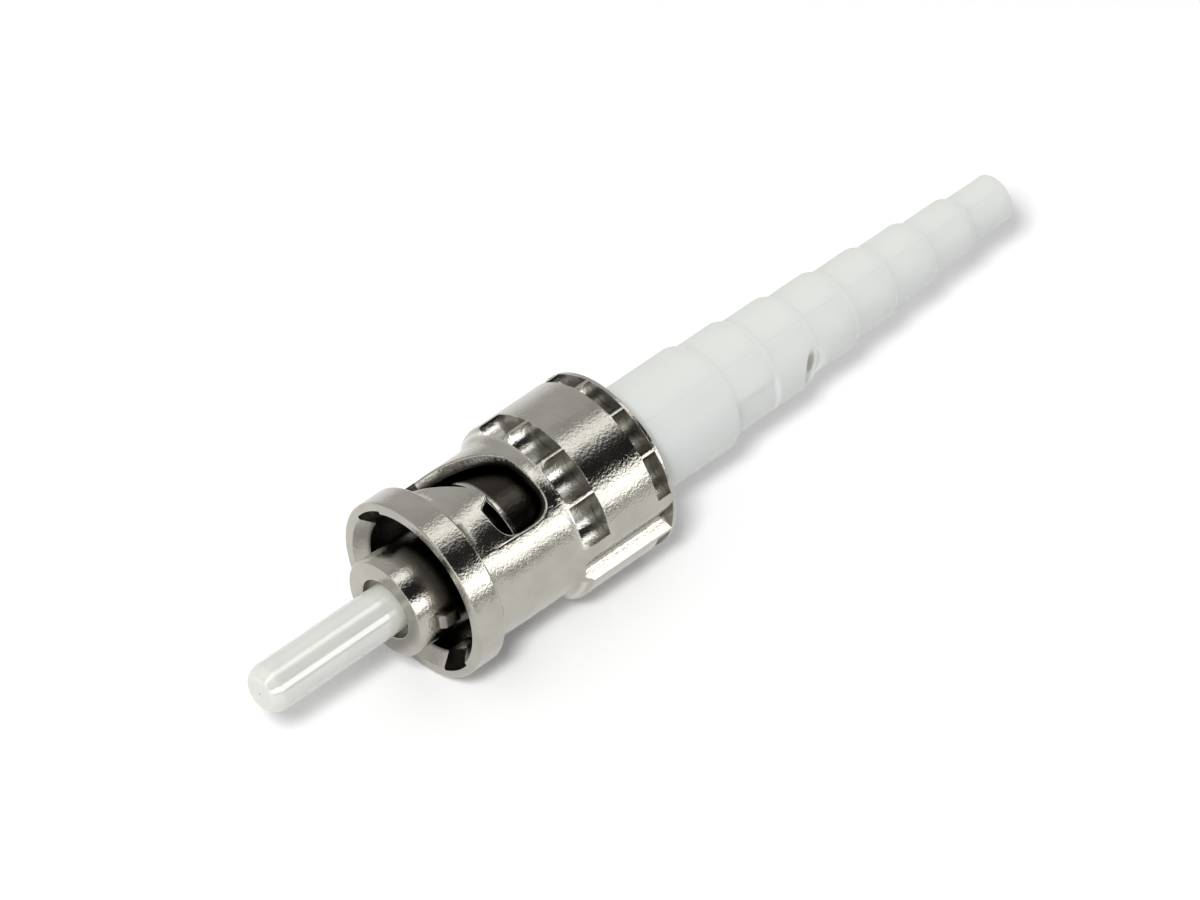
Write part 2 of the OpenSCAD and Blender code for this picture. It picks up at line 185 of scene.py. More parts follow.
class NutSizes(bpy.types.PropertyGroup):
    """Sizes of the coupling nut."""

    bore: length("Bore", "Bore of the front end", 7.2)
    wall: length("Wall", "Wall of the slotted tube", 0.6)
    bore_length: length("Bore depth", "Depth of the bore down to the shoulder", 10.72)
    shoulder: length("Shoulder", "Thickness of the shoulder", 1.1)
    collar: length("Collar bore", "Bore of the shoulder", 4.86)
    spring_bore: length("Spring bore", "Bore of the part round the spring", 6.95)
    recess: length("Recess", "Diameter of the recess in the rear face", 6.5)
    lead_in: length("Lead-in diameter", "Diameter of the lead-in at the front face", 8.4)
    lead_in_length: length("Lead-in depth", "Depth of the lead-in", 0.6)
    rim_height: length("Rim height", "Height of the front rim over the tube", 0.575)
    rim_length: length("Rim length", "Length of the front rim", 1.48)
    rim_slope: length("Rim slope", "Length of the slope behind the front rim", 0.5)
    edge: length("Edge", "Rounding of the rims' outer edges", 0.14)
    slot_from: angle("Slot start", "Angle of the first slot's start, from up toward -Y", -60)
    slot_turn: angle("Slot turn", "Turn from the slot's start to its end", 102.8)
    slot_back: length("Slot back", "Distance of the slot's rear edge from the front face", 6.48)
    detent: length("Detent", "Width of the detent along the nut", 3.04)
    detent_angle: angle("Detent angle", "Angle from the detent's middle to the slot's end", 20.7)
    slot_lead: length("Slot lead", "Rise of the slot's front edge for one degree of turn", 0.0543)
    tongue: length("Tongue", "Height of the tongue's tip over the detent's floor", 0.8)
    tongue_round: length("Tongue rounding", "How softly the tongue's edge levels out", 0.18)
    tongue_fall_from: angle("Tongue fall start", "Where the tip falls, before the detent's middle", 13.5)
    tongue_fall_to: angle("Tongue fall end", "Where the tip has fallen, before the detent's middle", 4.5)
    ramp_rise: length("Ramp rise", "Rise of the slot's rear edge along its ramp", 3.05)
    ramp_turn: angle("Ramp turn", "Turn over which the rear edge rises", 58)
    slot_edge: length("Slot edge", "Rounding of the slot's outer edge", 0.13)
    entry: length("Entry groove", "Diameter of the entry groove's floor", 8.7)
    entry_turn: angle("Entry turn", "Width of the entry groove", 28.5)
    grip_height: length("Grip height", "Height of the grip over the tube", 0.555)
    grip_from: length("Grip start", "Distance of the grip's foot from the front face", 6.62)
    grip_slope: length("Grip slope", "Length of the slope at the grip's front", 0.85)
    flutes: whole("Flutes", "Number of flutes round the grip", 12, 4)
    flute_depth: length("Flute depth", "Depth of a flute", 0.9)
    flute_share: share("Flute share", "Share of its pitch that a flute takes", 0.93)
    flute_from: length("Flute start", "Distance of the flutes' front end from the front face", 7.05)
    band_from: length("Band start", "Distance of the plain band from the front face", 8.53)
    band_length: length("Band length", "Length of the plain band", 3.1)
    rear_rim: length("Rear rim", "Length of the plain rear rim", 0.25)
    long_depth: length("Long flute depth", "Depth of the two long flutes", 0.65)
    long_upper: angle("Long flute upper side", "Turn from a long flute's soft edge to the even spacing", 12.5)
    long_lower: angle("Long flute lower side", "Turn from the even spacing to its sharp edge", 12.7)
    long_flank: angle("Long flute flank", "Slope of the flank at a long flute's sharp edge", 50)
    flute_edge: length("Flute edge", "Rounding of the flutes' edges", 0.04)
    flute_wall: length("Flute wall", "Chamfer of the walls at the flutes' ends", 0.03)


class BootSizes(bpy.types.PropertyGroup):
    """Sizes of the strain relief boot."""

    diameter: length("Diameter", "Diameter of the first segment", 5.72)
    tail: length("Tail diameter", "Diameter of the last segment", 2.5)
    base_length: length("First segment", "Length of the first segment", 5.7)
    segment: length("Segment", "Length of each further segment", 2.84)
    segments: whole("Segments", "Number of further segments", 7)
    step: length("Step", "Length of the rounded step between segments", 0.6)
    tail_round: length("Tail rounding", "Rounding of the tail end", 0.25)
    front_edge: length("Front edge", "Rounding of the front edge", 0.15)
    socket: length("Socket", "Diameter of the socket on the barrel's tail", 4.06)
    socket_length: length("Socket depth", "Depth of the socket", 5.03)
    tube_bore: length("Tube bore", "Diameter of the bore round the guide tube", 1.96)
    tube_length: length("Tube bore depth", "Depth of that bore past the socket", 0.83)
    inlet: length("Inlet", "Diameter of the fibre's inlet", 1.1)
    panel_angle: angle("Panel angle", "Middle of the label panel, from up toward -Y", 120)
    panel_width: angle("Panel width", "Width of the label panel", 104)
    panel_rise: length("Panel rise", "Rise of the label panel over the second segment", 0.1)
    gate_angle: angle("Gate angle", "Place of the gate recess round the boot", 95)
    gate_from: length("Gate place", "Distance of the gate recess from the boot's front", 11.1)
    gate_length: length("Gate length", "Length of the gate recess along the boot", 1.5)
    gate_width: length("Gate width", "Width of the gate recess", 2.6)
    gate_floor: length("Gate floor", "Distance of the recess's floor from the axis", 1.95)
    gate_edge: length("Gate edge", "Rounding of the recess's rim", 0.12)
    # the gate spot is painted shade in the gate recess
    spot_angle: angle("Gate spot angle", "Middle of the dark spot in the recess", 90)
    spot_width: length("Gate spot width", "Width of the dark spot in the recess", 1.56)
    spot_length: length("Gate spot length", "Length of the dark spot along the boot", 0.6)
    parting: angle("Parting line", "Place of the parting line, from up toward -Y", 26)


class FinishColours(bpy.types.PropertyGroup):
    """Colours of the plug's materials, and of the painted light and shade laid on them."""

    ceramic: colour("Ceramic", "Zirconia of the ferrule", (0.70, 0.71, 0.66))
    plated: colour("Nickel plate", "Nickel plate on turned brass", (0.46, 0.44, 0.395))
    cast: colour("Nickel casting", "Nickel plate on the cast nut", (0.45, 0.432, 0.385))
    # painted shade: the nickel inside the nut, on the barrel's sleeve behind its face and on its flange
    painted_shade: colour("Dull nickel", "Nickel inside the nut and behind the barrel face", (0.040, 0.035, 0.029))
    # painted light: lightens the floors of the nut's flutes
    hollow: colour("Hollows", "Nickel in the hollows of the nut's flutes", (0.63, 0.612, 0.56))
    # painted shade on the walls at the flutes' ends, which are also rougher
    end_wall_shade: colour("End walls", "Rough nickel on the walls at the flutes' ends", (0.27, 0.262, 0.237))
    spring_steel: colour("Spring steel", "Steel of the spring, washer and ring", (0.42, 0.41, 0.40))
    tube: colour("Guide tube", "Plastic of the guide tube", (0.80, 0.79, 0.72))
    boot: colour("Boot", "White plastic of the boot", (0.745, 0.765, 0.748))
    # painted light: the boot's upper, lit half, warmer and a little lighter than its shaded side
    boot_lit_half: colour("Boot, upper half", "The boot above its parting line", (0.755, 0.77, 0.735))
    # painted light along the boot's steps, lifting the shade in them
    boot_step_light: colour("Boot steps", "The boot where light comes through its steps", (0.88, 0.905, 0.875))
    # painted shade in the gate recess, also drawn faintly along the boot's parting line as its seam
    boot_gate_shade_and_seam: colour("Boot gate", "Colour that lies in the gate recess", (0.42, 0.41, 0.34))


class StudioSizes(bpy.types.PropertyGroup):
    """Camera, lamp, surroundings and floor."""

    azimuth: angle("Azimuth", "Direction of the camera round the plug", -42.933)
    elevation: angle("Elevation", "Height of the camera as an angle", 46.604)
    place: FloatVectorProperty(
        name="Camera place", description="Where the camera stands", size=3,
        default=(-0.22460, -0.25626, 0.37115), precision=5, subtype="TRANSLATION", unit="LENGTH",
    )
    lens: FloatProperty(name="Lens", description="Focal length, millimetres", default=321.25, min=1.0)
    floor: colour("Floor", "Colour of the floor", (0.90, 0.90, 0.90))
    floor_light: share("Floor glow", "Share of white that the camera sees in the floor", 0.13)
    key_power: share("Key lamp", "Power of the key lamp, watts", 2.6, 100)
    fill: share("Fill", "Strength of the even light from above and from +Y", 0.62, 10)
    front_fill: share("Front fill", "Strength of the even light from the side at -Y", 0.10, 10)
    strip: share("Strip", "Strength of the low strip of light in gloss", 3.0, 10)
    top_strip: share("Top strip", "Strength of the narrow strip overhead in gloss", 2.0, 10)
    surround: share("Surround", "Strength of the grey surroundings in gloss", 0.70, 10)
    flag: share("Flag", "Strength of the dark flag between the two strips in gloss", 0.03, 10)
    horizon: share("Horizon", "Strength just over the floor in gloss", 0.28, 10)


SIZE_GROUPS = {
    "plug_ferrule": FerruleSizes,
    "plug_barrel": BarrelSizes,
    "plug_spring": SpringSizes,
    "plug_nut": NutSizes,
    "plug_boot": BootSizes,
    "plug_colours": FinishColours,
    "plug_studio": StudioSizes,
}


# --- node trees ---


class Field:
    """A number that varies over a surface, worked out by Math nodes in a shader or geometry tree."""

    def __init__(self, tree, socket):
        self.tree = tree
        self.socket = socket

    def math(self, operation, *others):
        return worked_out(self.tree, operation, self, *others)

    def __add__(self, other):
        return self.math("ADD", other)

    def __sub__(self, other):
        return self.math("SUBTRACT", other)

    def __rsub__(self, other):
        return worked_out(self.tree, "SUBTRACT", other, self)

    def __mul__(self, other):
        return self.math("MULTIPLY", other)

    __rmul__ = __mul__

    def __truediv__(self, other):
        return self.math("DIVIDE", other)

    def clamp(self):
        return self.math("MAXIMUM", 0.0).math("MINIMUM", 1.0)


def worked_out(tree, operation, *values):
    """The result of a Math node on fields, sockets or plain numbers."""
    node = tree.nodes.new("ShaderNodeMath")
    node.operation = operation
    for place, value in enumerate(values):
        connect(tree, value, node.inputs[place])
    return Field(tree, node.outputs[0])


def connect(tree, value, socket):
    """Links a field or socket to a socket, or sets a plain value on it."""
    if isinstance(value, Field):
        tree.links.new(value.socket, socket)
    elif isinstance(value, bpy.types.NodeSocket):
        tree.links.new(value, socket)
    else:
        socket.default_value = value


def place_node(tree, kind, inputs=None, **settings):
    """A node of a kind, with its settings and inputs."""
    node = tree.nodes.new(kind)
    for name, value in settings.items():
        setattr(node, name, value)
    for name, value in (inputs or {}).items():
        connect(tree, value, node.inputs[name])
    return node


def smooth_step(field, low, high):
    """Goes from 0 to 1 between two values of a field."""
    t = ((field - low) / (high - low)).clamp()
    return t * t * (3.0 - 2.0 * t)


def past(field, edge, span):
    """Goes from 0 to 1 over a span of distances past an edge, in millimetres."""
    return smooth_step(field, edge + span[0] * MM, edge + span[1] * MM)


def axes(tree, vector):
    """The three numbers of a vector."""
    split = place_node(tree, "ShaderNodeSeparateXYZ", {"Vector": vector})
    return [Field(tree, split.outputs[axis]) for axis in "XYZ"]


def long_side(a, b):
    """The long side of a right-angled triangle, from its other two."""
    return (a * a + b * b).math("SQRT")


def turn_of(y, z):
    """The angle of a point round the axis, from up toward -Y."""
    return (0.0 - y).math("ARCTAN2", z)


def point_around(tree, x, radius, turn):
    """The point at a place along the axis, a radius and an angle from up toward -Y."""
    return place_node(tree, "ShaderNodeCombineXYZ", {
        "X": x, "Y": 0.0 - turn.math("SINE") * radius, "Z": turn.math("COSINE") * radius,
    }).outputs["Vector"]


def geometry_tree(name, inputs):
    """A geometry tree with a number input for each name: the tree, its mesh and its numbers."""
    tree = bpy.data.node_groups.new(name, "GeometryNodeTree")
    tree.interface.new_socket(name="Geometry", in_out="INPUT", socket_type="NodeSocketGeometry")
    for item in inputs:
        tree.interface.new_socket(name=item, in_out="INPUT", socket_type="NodeSocketFloat")
    tree.interface.new_socket(name="Geometry", in_out="OUTPUT", socket_type="NodeSocketGeometry")
    source = place_node(tree, "NodeGroupInput")
    return tree, source.outputs["Geometry"], {item: Field(tree, source.outputs[item]) for item in inputs}


def finish_tree(tree, geometry, material):
    """Ends a geometry tree: makes its instances real and sets their material."""
    real = place_node(tree, "GeometryNodeRealizeInstances", {"Geometry": geometry})
    coated = place_node(tree, "GeometryNodeSetMaterial",
                        {"Geometry": real.outputs["Geometry"], "Material": material})
    place_node(tree, "NodeGroupOutput", {"Geometry": coated.outputs["Geometry"]})
    return tree


def run_tree(piece, tree, values):
    """Runs a geometry tree on a piece, its inputs set by identifier, and makes the result plain mesh."""
    modifier = piece.modifiers.new(tree.name, "NODES")
    modifier.node_group = tree
    for item in tree.interface.items_tree:
        if item.item_type == "SOCKET" and item.in_out == "INPUT" and item.name in values:
            modifier[item.identifier] = values[item.name]
    settle(piece)


# --- meshes ---


def around(x, radius, turn):
    """Points at a place along the axis, a radius and an angle from up toward -Y."""
    x, radius, turn = np.broadcast_arrays(x, radius, turn)
    return np.stack([x, -radius * np.sin(turn), radius * np.cos(turn)], axis=-1)


# the most of a profile's side that a rounding takes
ROUNDING_SHARE = 0.49


def rounded(profile, steps):
    """Rounds the corners of a closed profile of (x, radius, rounding) points."""
    points = []
    count = len(profile)
    for i, (x, y, size) in enumerate(profile):
        corner = np.array([x, y])
        before = np.array(profile[i - 1][:2]) - corner
        after = np.array(profile[(i + 1) % count][:2]) - corner
        lengths = np.linalg.norm(before), np.linalg.norm(after)
        reach = min(size, ROUNDING_SHARE * min(lengths))
        if reach <= 0:
            points.append(corner)
            continue
        start = corner + before / lengths[0] * reach
        end = corner + after / lengths[1] * reach
        for k in range(steps + 1):
            t = k / steps
            points.append((1 - t) ** 2 * start + 2 * t * (1 - t) * corner + t * t * end)
    return np.array(points)


def grid_faces(rows, columns):
    """Quads of a grid that closes on itself both ways."""
    row, column = np.meshgrid(np.arange(rows), np.arange(columns), indexing="ij")
    next_row = (row + 1) % rows
    next_column = (column + 1) % columns
    return np.stack([
        row * columns + column, next_row * columns + column,
        next_row * columns + next_column, row * columns + next_column,
    ], axis=-1)


def smoothed(mesh, sharp):
    """Shades a mesh smooth, but for edges sharper than an angle in degrees."""
    mesh.shade_smooth()
    mesh.set_sharp_from_angle(angle=math.radians(sharp))


def make_object(name, points, faces, sharp=35):
    """A closed mesh object from points and faces, smooth but for its sharp edges, facing outward."""
    mesh = bpy.data.meshes.new(name)
    mesh.from_pydata(points.reshape(-1, 3).tolist(), [], faces)
    mesh.validate()
    shape = bmesh.new()
    shape.from_mesh(mesh)
    open_edges = sum(1 for edge in shape.edges if not edge.is_manifold)
    if open_edges:
        raise RuntimeError(f"{name} isn't closed: {open_edges} open edges")
    bmesh.ops.recalc_face_normals(shape, faces=shape.faces)
    if shape.calc_volume(signed=True) < 0:
        bmesh.ops.reverse_faces(shape, faces=shape.faces)
    shape.to_mesh(mesh)
    shape.free()
    smoothed(mesh, sharp)
    return in_scene(name, mesh)


def in_scene(name, data):
    """An object of a mesh, lamp or camera, put in the scene."""
    piece = bpy.data.objects.new(name, data)
    bpy.context.scene.collection.objects.link(piece)
    return piece


def turned(name, profile, columns, sharp=35):
    """A turned piece: a closed profile of (x, radius) points swept round the axis."""
    turns = np.arange(columns) * FULL_TURN / columns
    points = around(profile[:, None, 0], profile[:, None, 1], turns[None, :])
    faces = grid_faces(len(profile), columns).reshape(-1, 4).tolist()
    return make_object(name, points, faces, sharp)


def settle(piece):
    """Turns a piece's modifiers into plain mesh."""
    bpy.context.view_layer.update()
    graph = bpy.context.evaluated_depsgraph_get()
    mesh = bpy.data.meshes.new_from_object(piece.evaluated_get(graph))
    old = piece.data
    piece.modifiers.clear()
    piece.data = mesh
    bpy.data.meshes.remove(old)


def thinned(places, least):
    """Places in order, without those that are no more than a least distance past the one before."""
    kept = []
    for value in sorted(places):
        if not kept or value - kept[-1] > least:
            kept.append(value)
    return kept


def dress(piece, body, slot, node):
    """Gives a piece its slot's material, hangs it on the empty of the body it rides on, and hides the CAD
    node it stands for.
    """
    piece.data.materials.clear()
    piece.data.materials.append(material_for(slot))
    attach(piece, body)
    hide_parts(node)


def finish_node(name, slot):
    """Gives a CAD node its slot's material."""
    slots = frame["nodes"][name].data.materials
    if not slots:
        slots.append(None)
    for place in range(len(slots)):
        slots[place] = material_for(slot)


# --- finishes ---

# the grain's inputs and their defaults, and the noise values at which its patches and pits change
GRAIN = {"Size": 6000.0, "Patch size": 600.0, "Stretch": 1.0, "Pits": 0.0}
PATCH_EDGE = (0.35, 0.65)
PIT_EDGE = (0.05, 0.22)

# spans over which the painted shade, the painted light and the boot's parting line come in, in millimetres
# past an edge
FLANGE_RIM = (-0.25, -0.10)
FLANGE_RIM_END = (0.10, 0.30)
FLANGE_SHADE = (-0.30, -0.03)
SLEEVE_SHADE = (0.5, 1.7)
GRIP_START = (-0.15, 0.05)
FLUTE_FLOOR = (-0.25, -0.08)
END_WALL_TOP = (-0.06, -0.03)
END_WALL = (0.012, 0.02)
PARTING_LINE = (0.02, 0.07)

# how strongly a mark shows, among them the sleeve's painted shade and the roughness added with painted shade
SLEEVE_SHADE_SHARE = 0.88
DULL_ROUGHNESS = 0.12
END_WALL_ROUGHNESS = 0.35
PARTING_SHADE = 0.07

# the bore's wall and lead-in, in shares of their sizes, where the painted shade begins
BORE_SKIN = 0.05 * MM
BORE_WALL_SHARE = 0.75
LEAD_IN_SHARES = (0.75, 1.1)

# height over radius beside a long flute; cosine of the angle to a mark's side of the boot; sine past the
# parting line; and distance from the middle of the gate recess's painted shade spot, where 1 is its rim
LONG_FLUTE_SIDE = (0.235, 0.265)
SAME_SIDE = (0.3, 0.5)
UPPER_HALF = (-0.5, 0.5)
SPOT_EDGE = (0.5, 1.2)


def opaque(rgb):
    """A colour with full alpha."""
    return (*rgb, 1.0)


def object_place(tree):
    """The place of a point on a piece: along the axis, across it and up."""
    return axes(tree, place_node(tree, "ShaderNodeTexCoord").outputs["Object"])


def grain_group():
    """Fine grain shared by the metals and plastics: a height for a bump and a mask of its patches."""
    name = "Plug grain"
    if name in bpy.data.node_groups:
        return bpy.data.node_groups[name]
    group = bpy.data.node_groups.new(name, "ShaderNodeTree")
    for item, default in GRAIN.items():
        port = group.interface.new_socket(name=item, in_out="INPUT", socket_type="NodeSocketFloat")
        port.default_value = default
    for item in ("Height", "Patches"):
        group.interface.new_socket(name=item, in_out="OUTPUT", socket_type="NodeSocketFloat")
    source = place_node(group, "NodeGroupInput")
    x, y, z = object_place(group)
    place = place_node(group, "ShaderNodeCombineXYZ", {"X": x * source.outputs["Stretch"], "Y": y, "Z": z})

    def texture(kind, scale, result, **values):
        inputs = {"Vector": place.outputs[0], "Scale": source.outputs[scale], **values}
        return Field(group, place_node(group, kind, inputs).outputs[result])

    fine = texture("ShaderNodeTexNoise", "Size", "Fac", Detail=3.0, Roughness=0.6)
    patch = texture("ShaderNodeTexNoise", "Patch size", "Fac", Detail=3.0, Roughness=0.55)
    pit = texture("ShaderNodeTexVoronoi", "Patch size", "Distance")
    hollow = (1.0 - smooth_step(pit, *PIT_EDGE)) * source.outputs["Pits"]
    patches = smooth_step(patch, *PATCH_EDGE)
    place_node(group, "NodeGroupOutput", {"Height": fine - hollow, "Patches": patches})
    return group


def new_material(name):
    """A material with its node tree and its Principled shader."""
    material = bpy.data.materials.new(name)
    material.use_nodes = True
    tree = material.node_tree
    shader = next(node for node in tree.nodes if node.type == "BSDF_PRINCIPLED")
    return material, tree, shader


def mixed(tree, mask, first, second):
    """A colour between two, by a mask."""
    mix = place_node(tree, "ShaderNodeMix", data_type="RGBA")
    for place, value in ((0, mask), (6, first), (7, second)):
        connect(tree, value, mix.inputs[place])
    return mix.outputs[2]


def toned(tree, shader, mask, tone):
    """Lets another colour over a material's own where a mask is one."""
    socket = shader.inputs["Base Color"]
    connect(tree, mixed(tree, mask, socket.links[0].from_socket, opaque(tone)), socket)


def roughened(tree, shader, mask, extra):
    """Adds to a material's roughness where a mask is one."""
    socket = shader.inputs["Roughness"]
    connect(tree, Field(tree, socket.links[0].from_socket) + mask * extra, socket)


def shade_and_roughen(tree, shader, mask, dark):
    """Paints shade into a metal where a mask is one: darkens its colour and makes it rougher."""
    toned(tree, shader, mask, dark)
    roughened(tree, shader, mask, DULL_ROUGHNESS)


def add_grain(tree, shader, rgb, sizes, rough, bump, tone):
    """Puts the grain under a shader: two tones, a roughness that varies, and a bump."""
    grain = place_node(tree, "ShaderNodeGroup", dict(zip(GRAIN, sizes)), node_tree=grain_group())
    patches = Field(tree, grain.outputs["Patches"])
    darker = [part * tone for part in rgb]
    relief = place_node(tree, "ShaderNodeBump", {
        "Strength": bump[0], "Distance": bump[1], "Height": grain.outputs["Height"],
    })
    connect(tree, mixed(tree, patches, opaque(darker), opaque(rgb)), shader.inputs["Base Color"])
    connect(tree, patches * (rough[1] - rough[0]) + rough[0], shader.inputs["Roughness"])
    connect(tree, relief.outputs["Normal"], shader.inputs["Normal"])


def shade_barrel(tree, shader, c):
    """Paints shade on the barrel behind its face and from the flange on, but for the flange's front edge."""
    barrel = bpy.context.scene.plug_barrel
    x, y, z = object_place(tree)
    flange = BARREL_FRONT + barrel.sleeve_length
    on_rim = past(long_side(y, z), barrel.flange / 2, FLANGE_RIM)
    on_rim = on_rim * (1.0 - past(x, flange, FLANGE_RIM_END))
    # painted shade: the sleeve darkens from just behind its face, and the flange inside the nut is darker
    # still
    sleeve = past(x, BARREL_FRONT, SLEEVE_SHADE) * SLEEVE_SHADE_SHARE
    inside = past(x, flange, FLANGE_SHADE) * (1.0 - SLEEVE_SHADE_SHARE)
    shade_and_roughen(tree, shader, (sleeve + inside) * (1.0 - on_rim), c.painted_shade)


def shade_and_light_nut(tree, shader, c):
    """Paints light on the floors of the nut's flutes and shade on their end walls, and paints shade in its
    bore and its slots' walls, all of which but the floors it roughens.
    """
    nut = bpy.context.scene.plug_nut
    x, y, z = object_place(tree)
    radius = long_side(y, z)
    bore = nut.bore / 2
    grip = bore + nut.wall + nut.grip_height
    on_grip = past(x, NUT_FRONT + nut.flute_from, GRIP_START)
    beside_long = smooth_step(z.math("ABSOLUTE") / radius, *LONG_FLUTE_SIDE)
    # painted light on the floors of the flutes, but not in the long flutes
    toned(tree, shader, on_grip * (1.0 - past(radius, grip, FLUTE_FLOOR)) * beside_long, c.hollow)

    def near(place):
        return 1.0 - past((x - place).math("ABSOLUTE"), 0.0, END_WALL)

    band_wall = near(NUT_FRONT + nut.band_from) * beside_long
    walls = band_wall.math("MAXIMUM", near(NUT_BACK - nut.rear_rim))
    walls = walls * (on_grip * (1.0 - past(radius, grip, END_WALL_TOP)))
    # painted shade on the walls at the flutes' ends
    toned(tree, shader, walls, c.end_wall_shade)
    roughened(tree, shader, walls, END_WALL_ROUGHNESS)
    # painted shade in the bore and on the inner part of the slots' walls, which are also made rougher
    inward = 1.0 - smooth_step(radius, bore + BORE_SKIN, bore + BORE_WALL_SHARE * nut.wall)
    behind = smooth_step(x, *(NUT_FRONT + part * nut.lead_in_length for part in LEAD_IN_SHARES))
    shade_and_roughen(tree, shader, inward * behind, c.painted_shade)


def oval(off, along, radius, half_width, half_length):
    """Distance from the middle of an oval on the boot, 1 at its rim, and a mask of the side it is on."""
    reach = long_side(off.math("SINE") * radius / half_width, along / half_length)
    return reach, smooth_step(off.math("COSINE"), *SAME_SIDE)


def mark_boot(tree, shader, c):
    """Paints the boot's upper, lit half warmer and lighter, draws its parting line, paints light along its
    steps and paints shade in its gate recess.
    """
    boot = bpy.context.scene.plug_boot
    x, y, z = object_place(tree)
    radius = long_side(y, z)
    place = x - BOOT_FRONT
    turn = turn_of(y, z)
    past_line = (turn - boot.parting).math("SINE")
    # painted light: the upper, lit half goes warmer and lighter across the parting line
    toned(tree, shader, 1.0 - smooth_step(past_line, *UPPER_HALF), c.boot_lit_half)
    on_line = 1.0 - past(past_line.math("ABSOLUTE") * radius, 0.0, PARTING_LINE)
    toned(tree, shader, on_line * PARTING_SHADE, c.boot_gate_shade_and_seam)
    # painted light along each step, lifting the step's shade
    steps = (place - boot.base_length) / boot.segment
    from_step = (steps - steps.math("MAXIMUM", 0.0).math("ROUND")).math("ABSOLUTE") * boot.segment
    toned(tree, shader, 1.0 - smooth_step(from_step, 0.0, boot.step / 2), c.boot_step_light)
    # painted shade: a dark spot in the gate recess
    reach, facing = oval(turn - boot.spot_angle, place - boot.gate_from, radius, boot.spot_width / 2,
                         boot.spot_length / 2)
    toned(tree, shader, (1.0 - smooth_step(reach, *SPOT_EDGE)) * facing, c.boot_gate_shade_and_seam)


# each slot's colour, grain, roughness, bump (strength and distance), darker tone and shader values
FINISHES = {
    "zirconia": (
        "ceramic", (3000.0, 500.0, 1.0, 0.0), (0.05, 0.08), (0.05, 2e-6), 0.97,
        {"IOR": 2.1, "Subsurface Weight": 0.3, "Subsurface Scale": 0.0005,
         "Subsurface Radius": (1.0, 0.95, 0.8)}),
    "nickel_brass": (
        "plated", (6500.0, 700.0, 1.0, 0.0), (0.08, 0.13), (1.0, 1.7e-5), 0.9, {"Metallic": 1.0}),
    "nickel_casting": (
        "cast", (6800.0, 800.0, 1.0, 0.05), (0.08, 0.14), (1.0, 1.8e-5), 0.9, {"Metallic": 1.0}),
    "spring_steel": (
        "spring_steel", (4000.0, 900.0, 0.3, 0.0), (0.30, 0.42), (0.2, 6e-6), 0.9, {"Metallic": 1.0}),
    "clear_plastic": (
        "tube", (5000.0, 400.0, 1.0, 0.0), (0.30, 0.40), (0.10, 4e-6), 0.96, {"IOR": 1.5}),
    "boot_plastic": (
        "boot", (9000.0, 400.0, 1.0, 0.0), (0.42, 0.52), (0.25, 8e-6), 0.985,
        {"IOR": 1.46, "Subsurface Weight": 0.8, "Subsurface Scale": 0.0012,
         "Subsurface Radius": (1.0, 0.95, 0.85)}),
}
MARKS = {"nickel_brass": shade_barrel, "nickel_casting": shade_and_light_nut, "boot_plastic": mark_boot}
MATERIALS = {}


def material_for(slot):
    """The material of a slot, made once."""
    if slot not in MATERIALS:
        c = bpy.context.scene.plug_colours
        colour_name, sizes, rough, bump, tone, values = FINISHES[slot]
        material, tree, shader = new_material(slot)
        for name, value in values.items():
            shader.inputs[name].default_value = value
        add_grain(tree, shader, getattr(c, colour_name), sizes, rough, bump, tone)
        if slot in MARKS:
            MARKS[slot](tree, shader, c)
        MATERIALS[slot] = material
    return MATERIALS[slot]


# --- ferrule, barrel and key ---

# gaps left between pieces that touch, and roundings of the barrel's small edges
FIT = 0.01 * MM
RING_GAP = 0.03 * MM
FLANGE_FOOT = 0.05 * MM
NECK_EDGE = 0.04 * MM
TAIL_END_EDGE = 0.03 * MM
SMALL_EDGE = 0.02 * MM
DOME_POINTS = 7
DOME_SHARE = 0.7


def ferrule_profile(s):
    """Outline of the ferrule's wall, from the fibre's hole outward and back."""
    radius = s.diameter / 2
    flat = s.tip / 2
    hole = s.fibre / 2
    dome = [(FERRULE_TIP + s.dome * (r / flat) ** 2, r) for r in np.linspace(hole, flat, DOME_POINTS)[:-1]]
    edge = rounded([
        (FERRULE_TIP + s.dome / 2, flat * DOME_SHARE, 0), (FERRULE_TIP + s.dome, flat, s.edge),
        (FERRULE_TIP + s.chamfer, radius, s.edge), (BARREL_FRONT, radius, 0),
        (FERRULE_BACK, radius - s.hold_taper, 0), (FERRULE_BACK, s.funnel / 2, 0),
    ], steps=6)[1:]
    inside = [(FERRULE_BACK - s.funnel_length, hole)]
    return np.array(dome + [tuple(point) for point in edge] + inside)


class PLUG_OT_ferrule(bpy.types.Operator):
    """Makes the ceramic ferrule with its domed end face and rounded chamfer"""

    bl_idname = "plug.make_ferrule"
    bl_label = "Ferrule"

    def execute(self, context):
        profile = ferrule_profile(context.scene.plug_ferrule)
        piece = turned("ferrule_dressed", profile, columns=160, sharp=50)
        dress(piece, "connector", "zirconia", "ferrule")
        return {"FINISHED"}


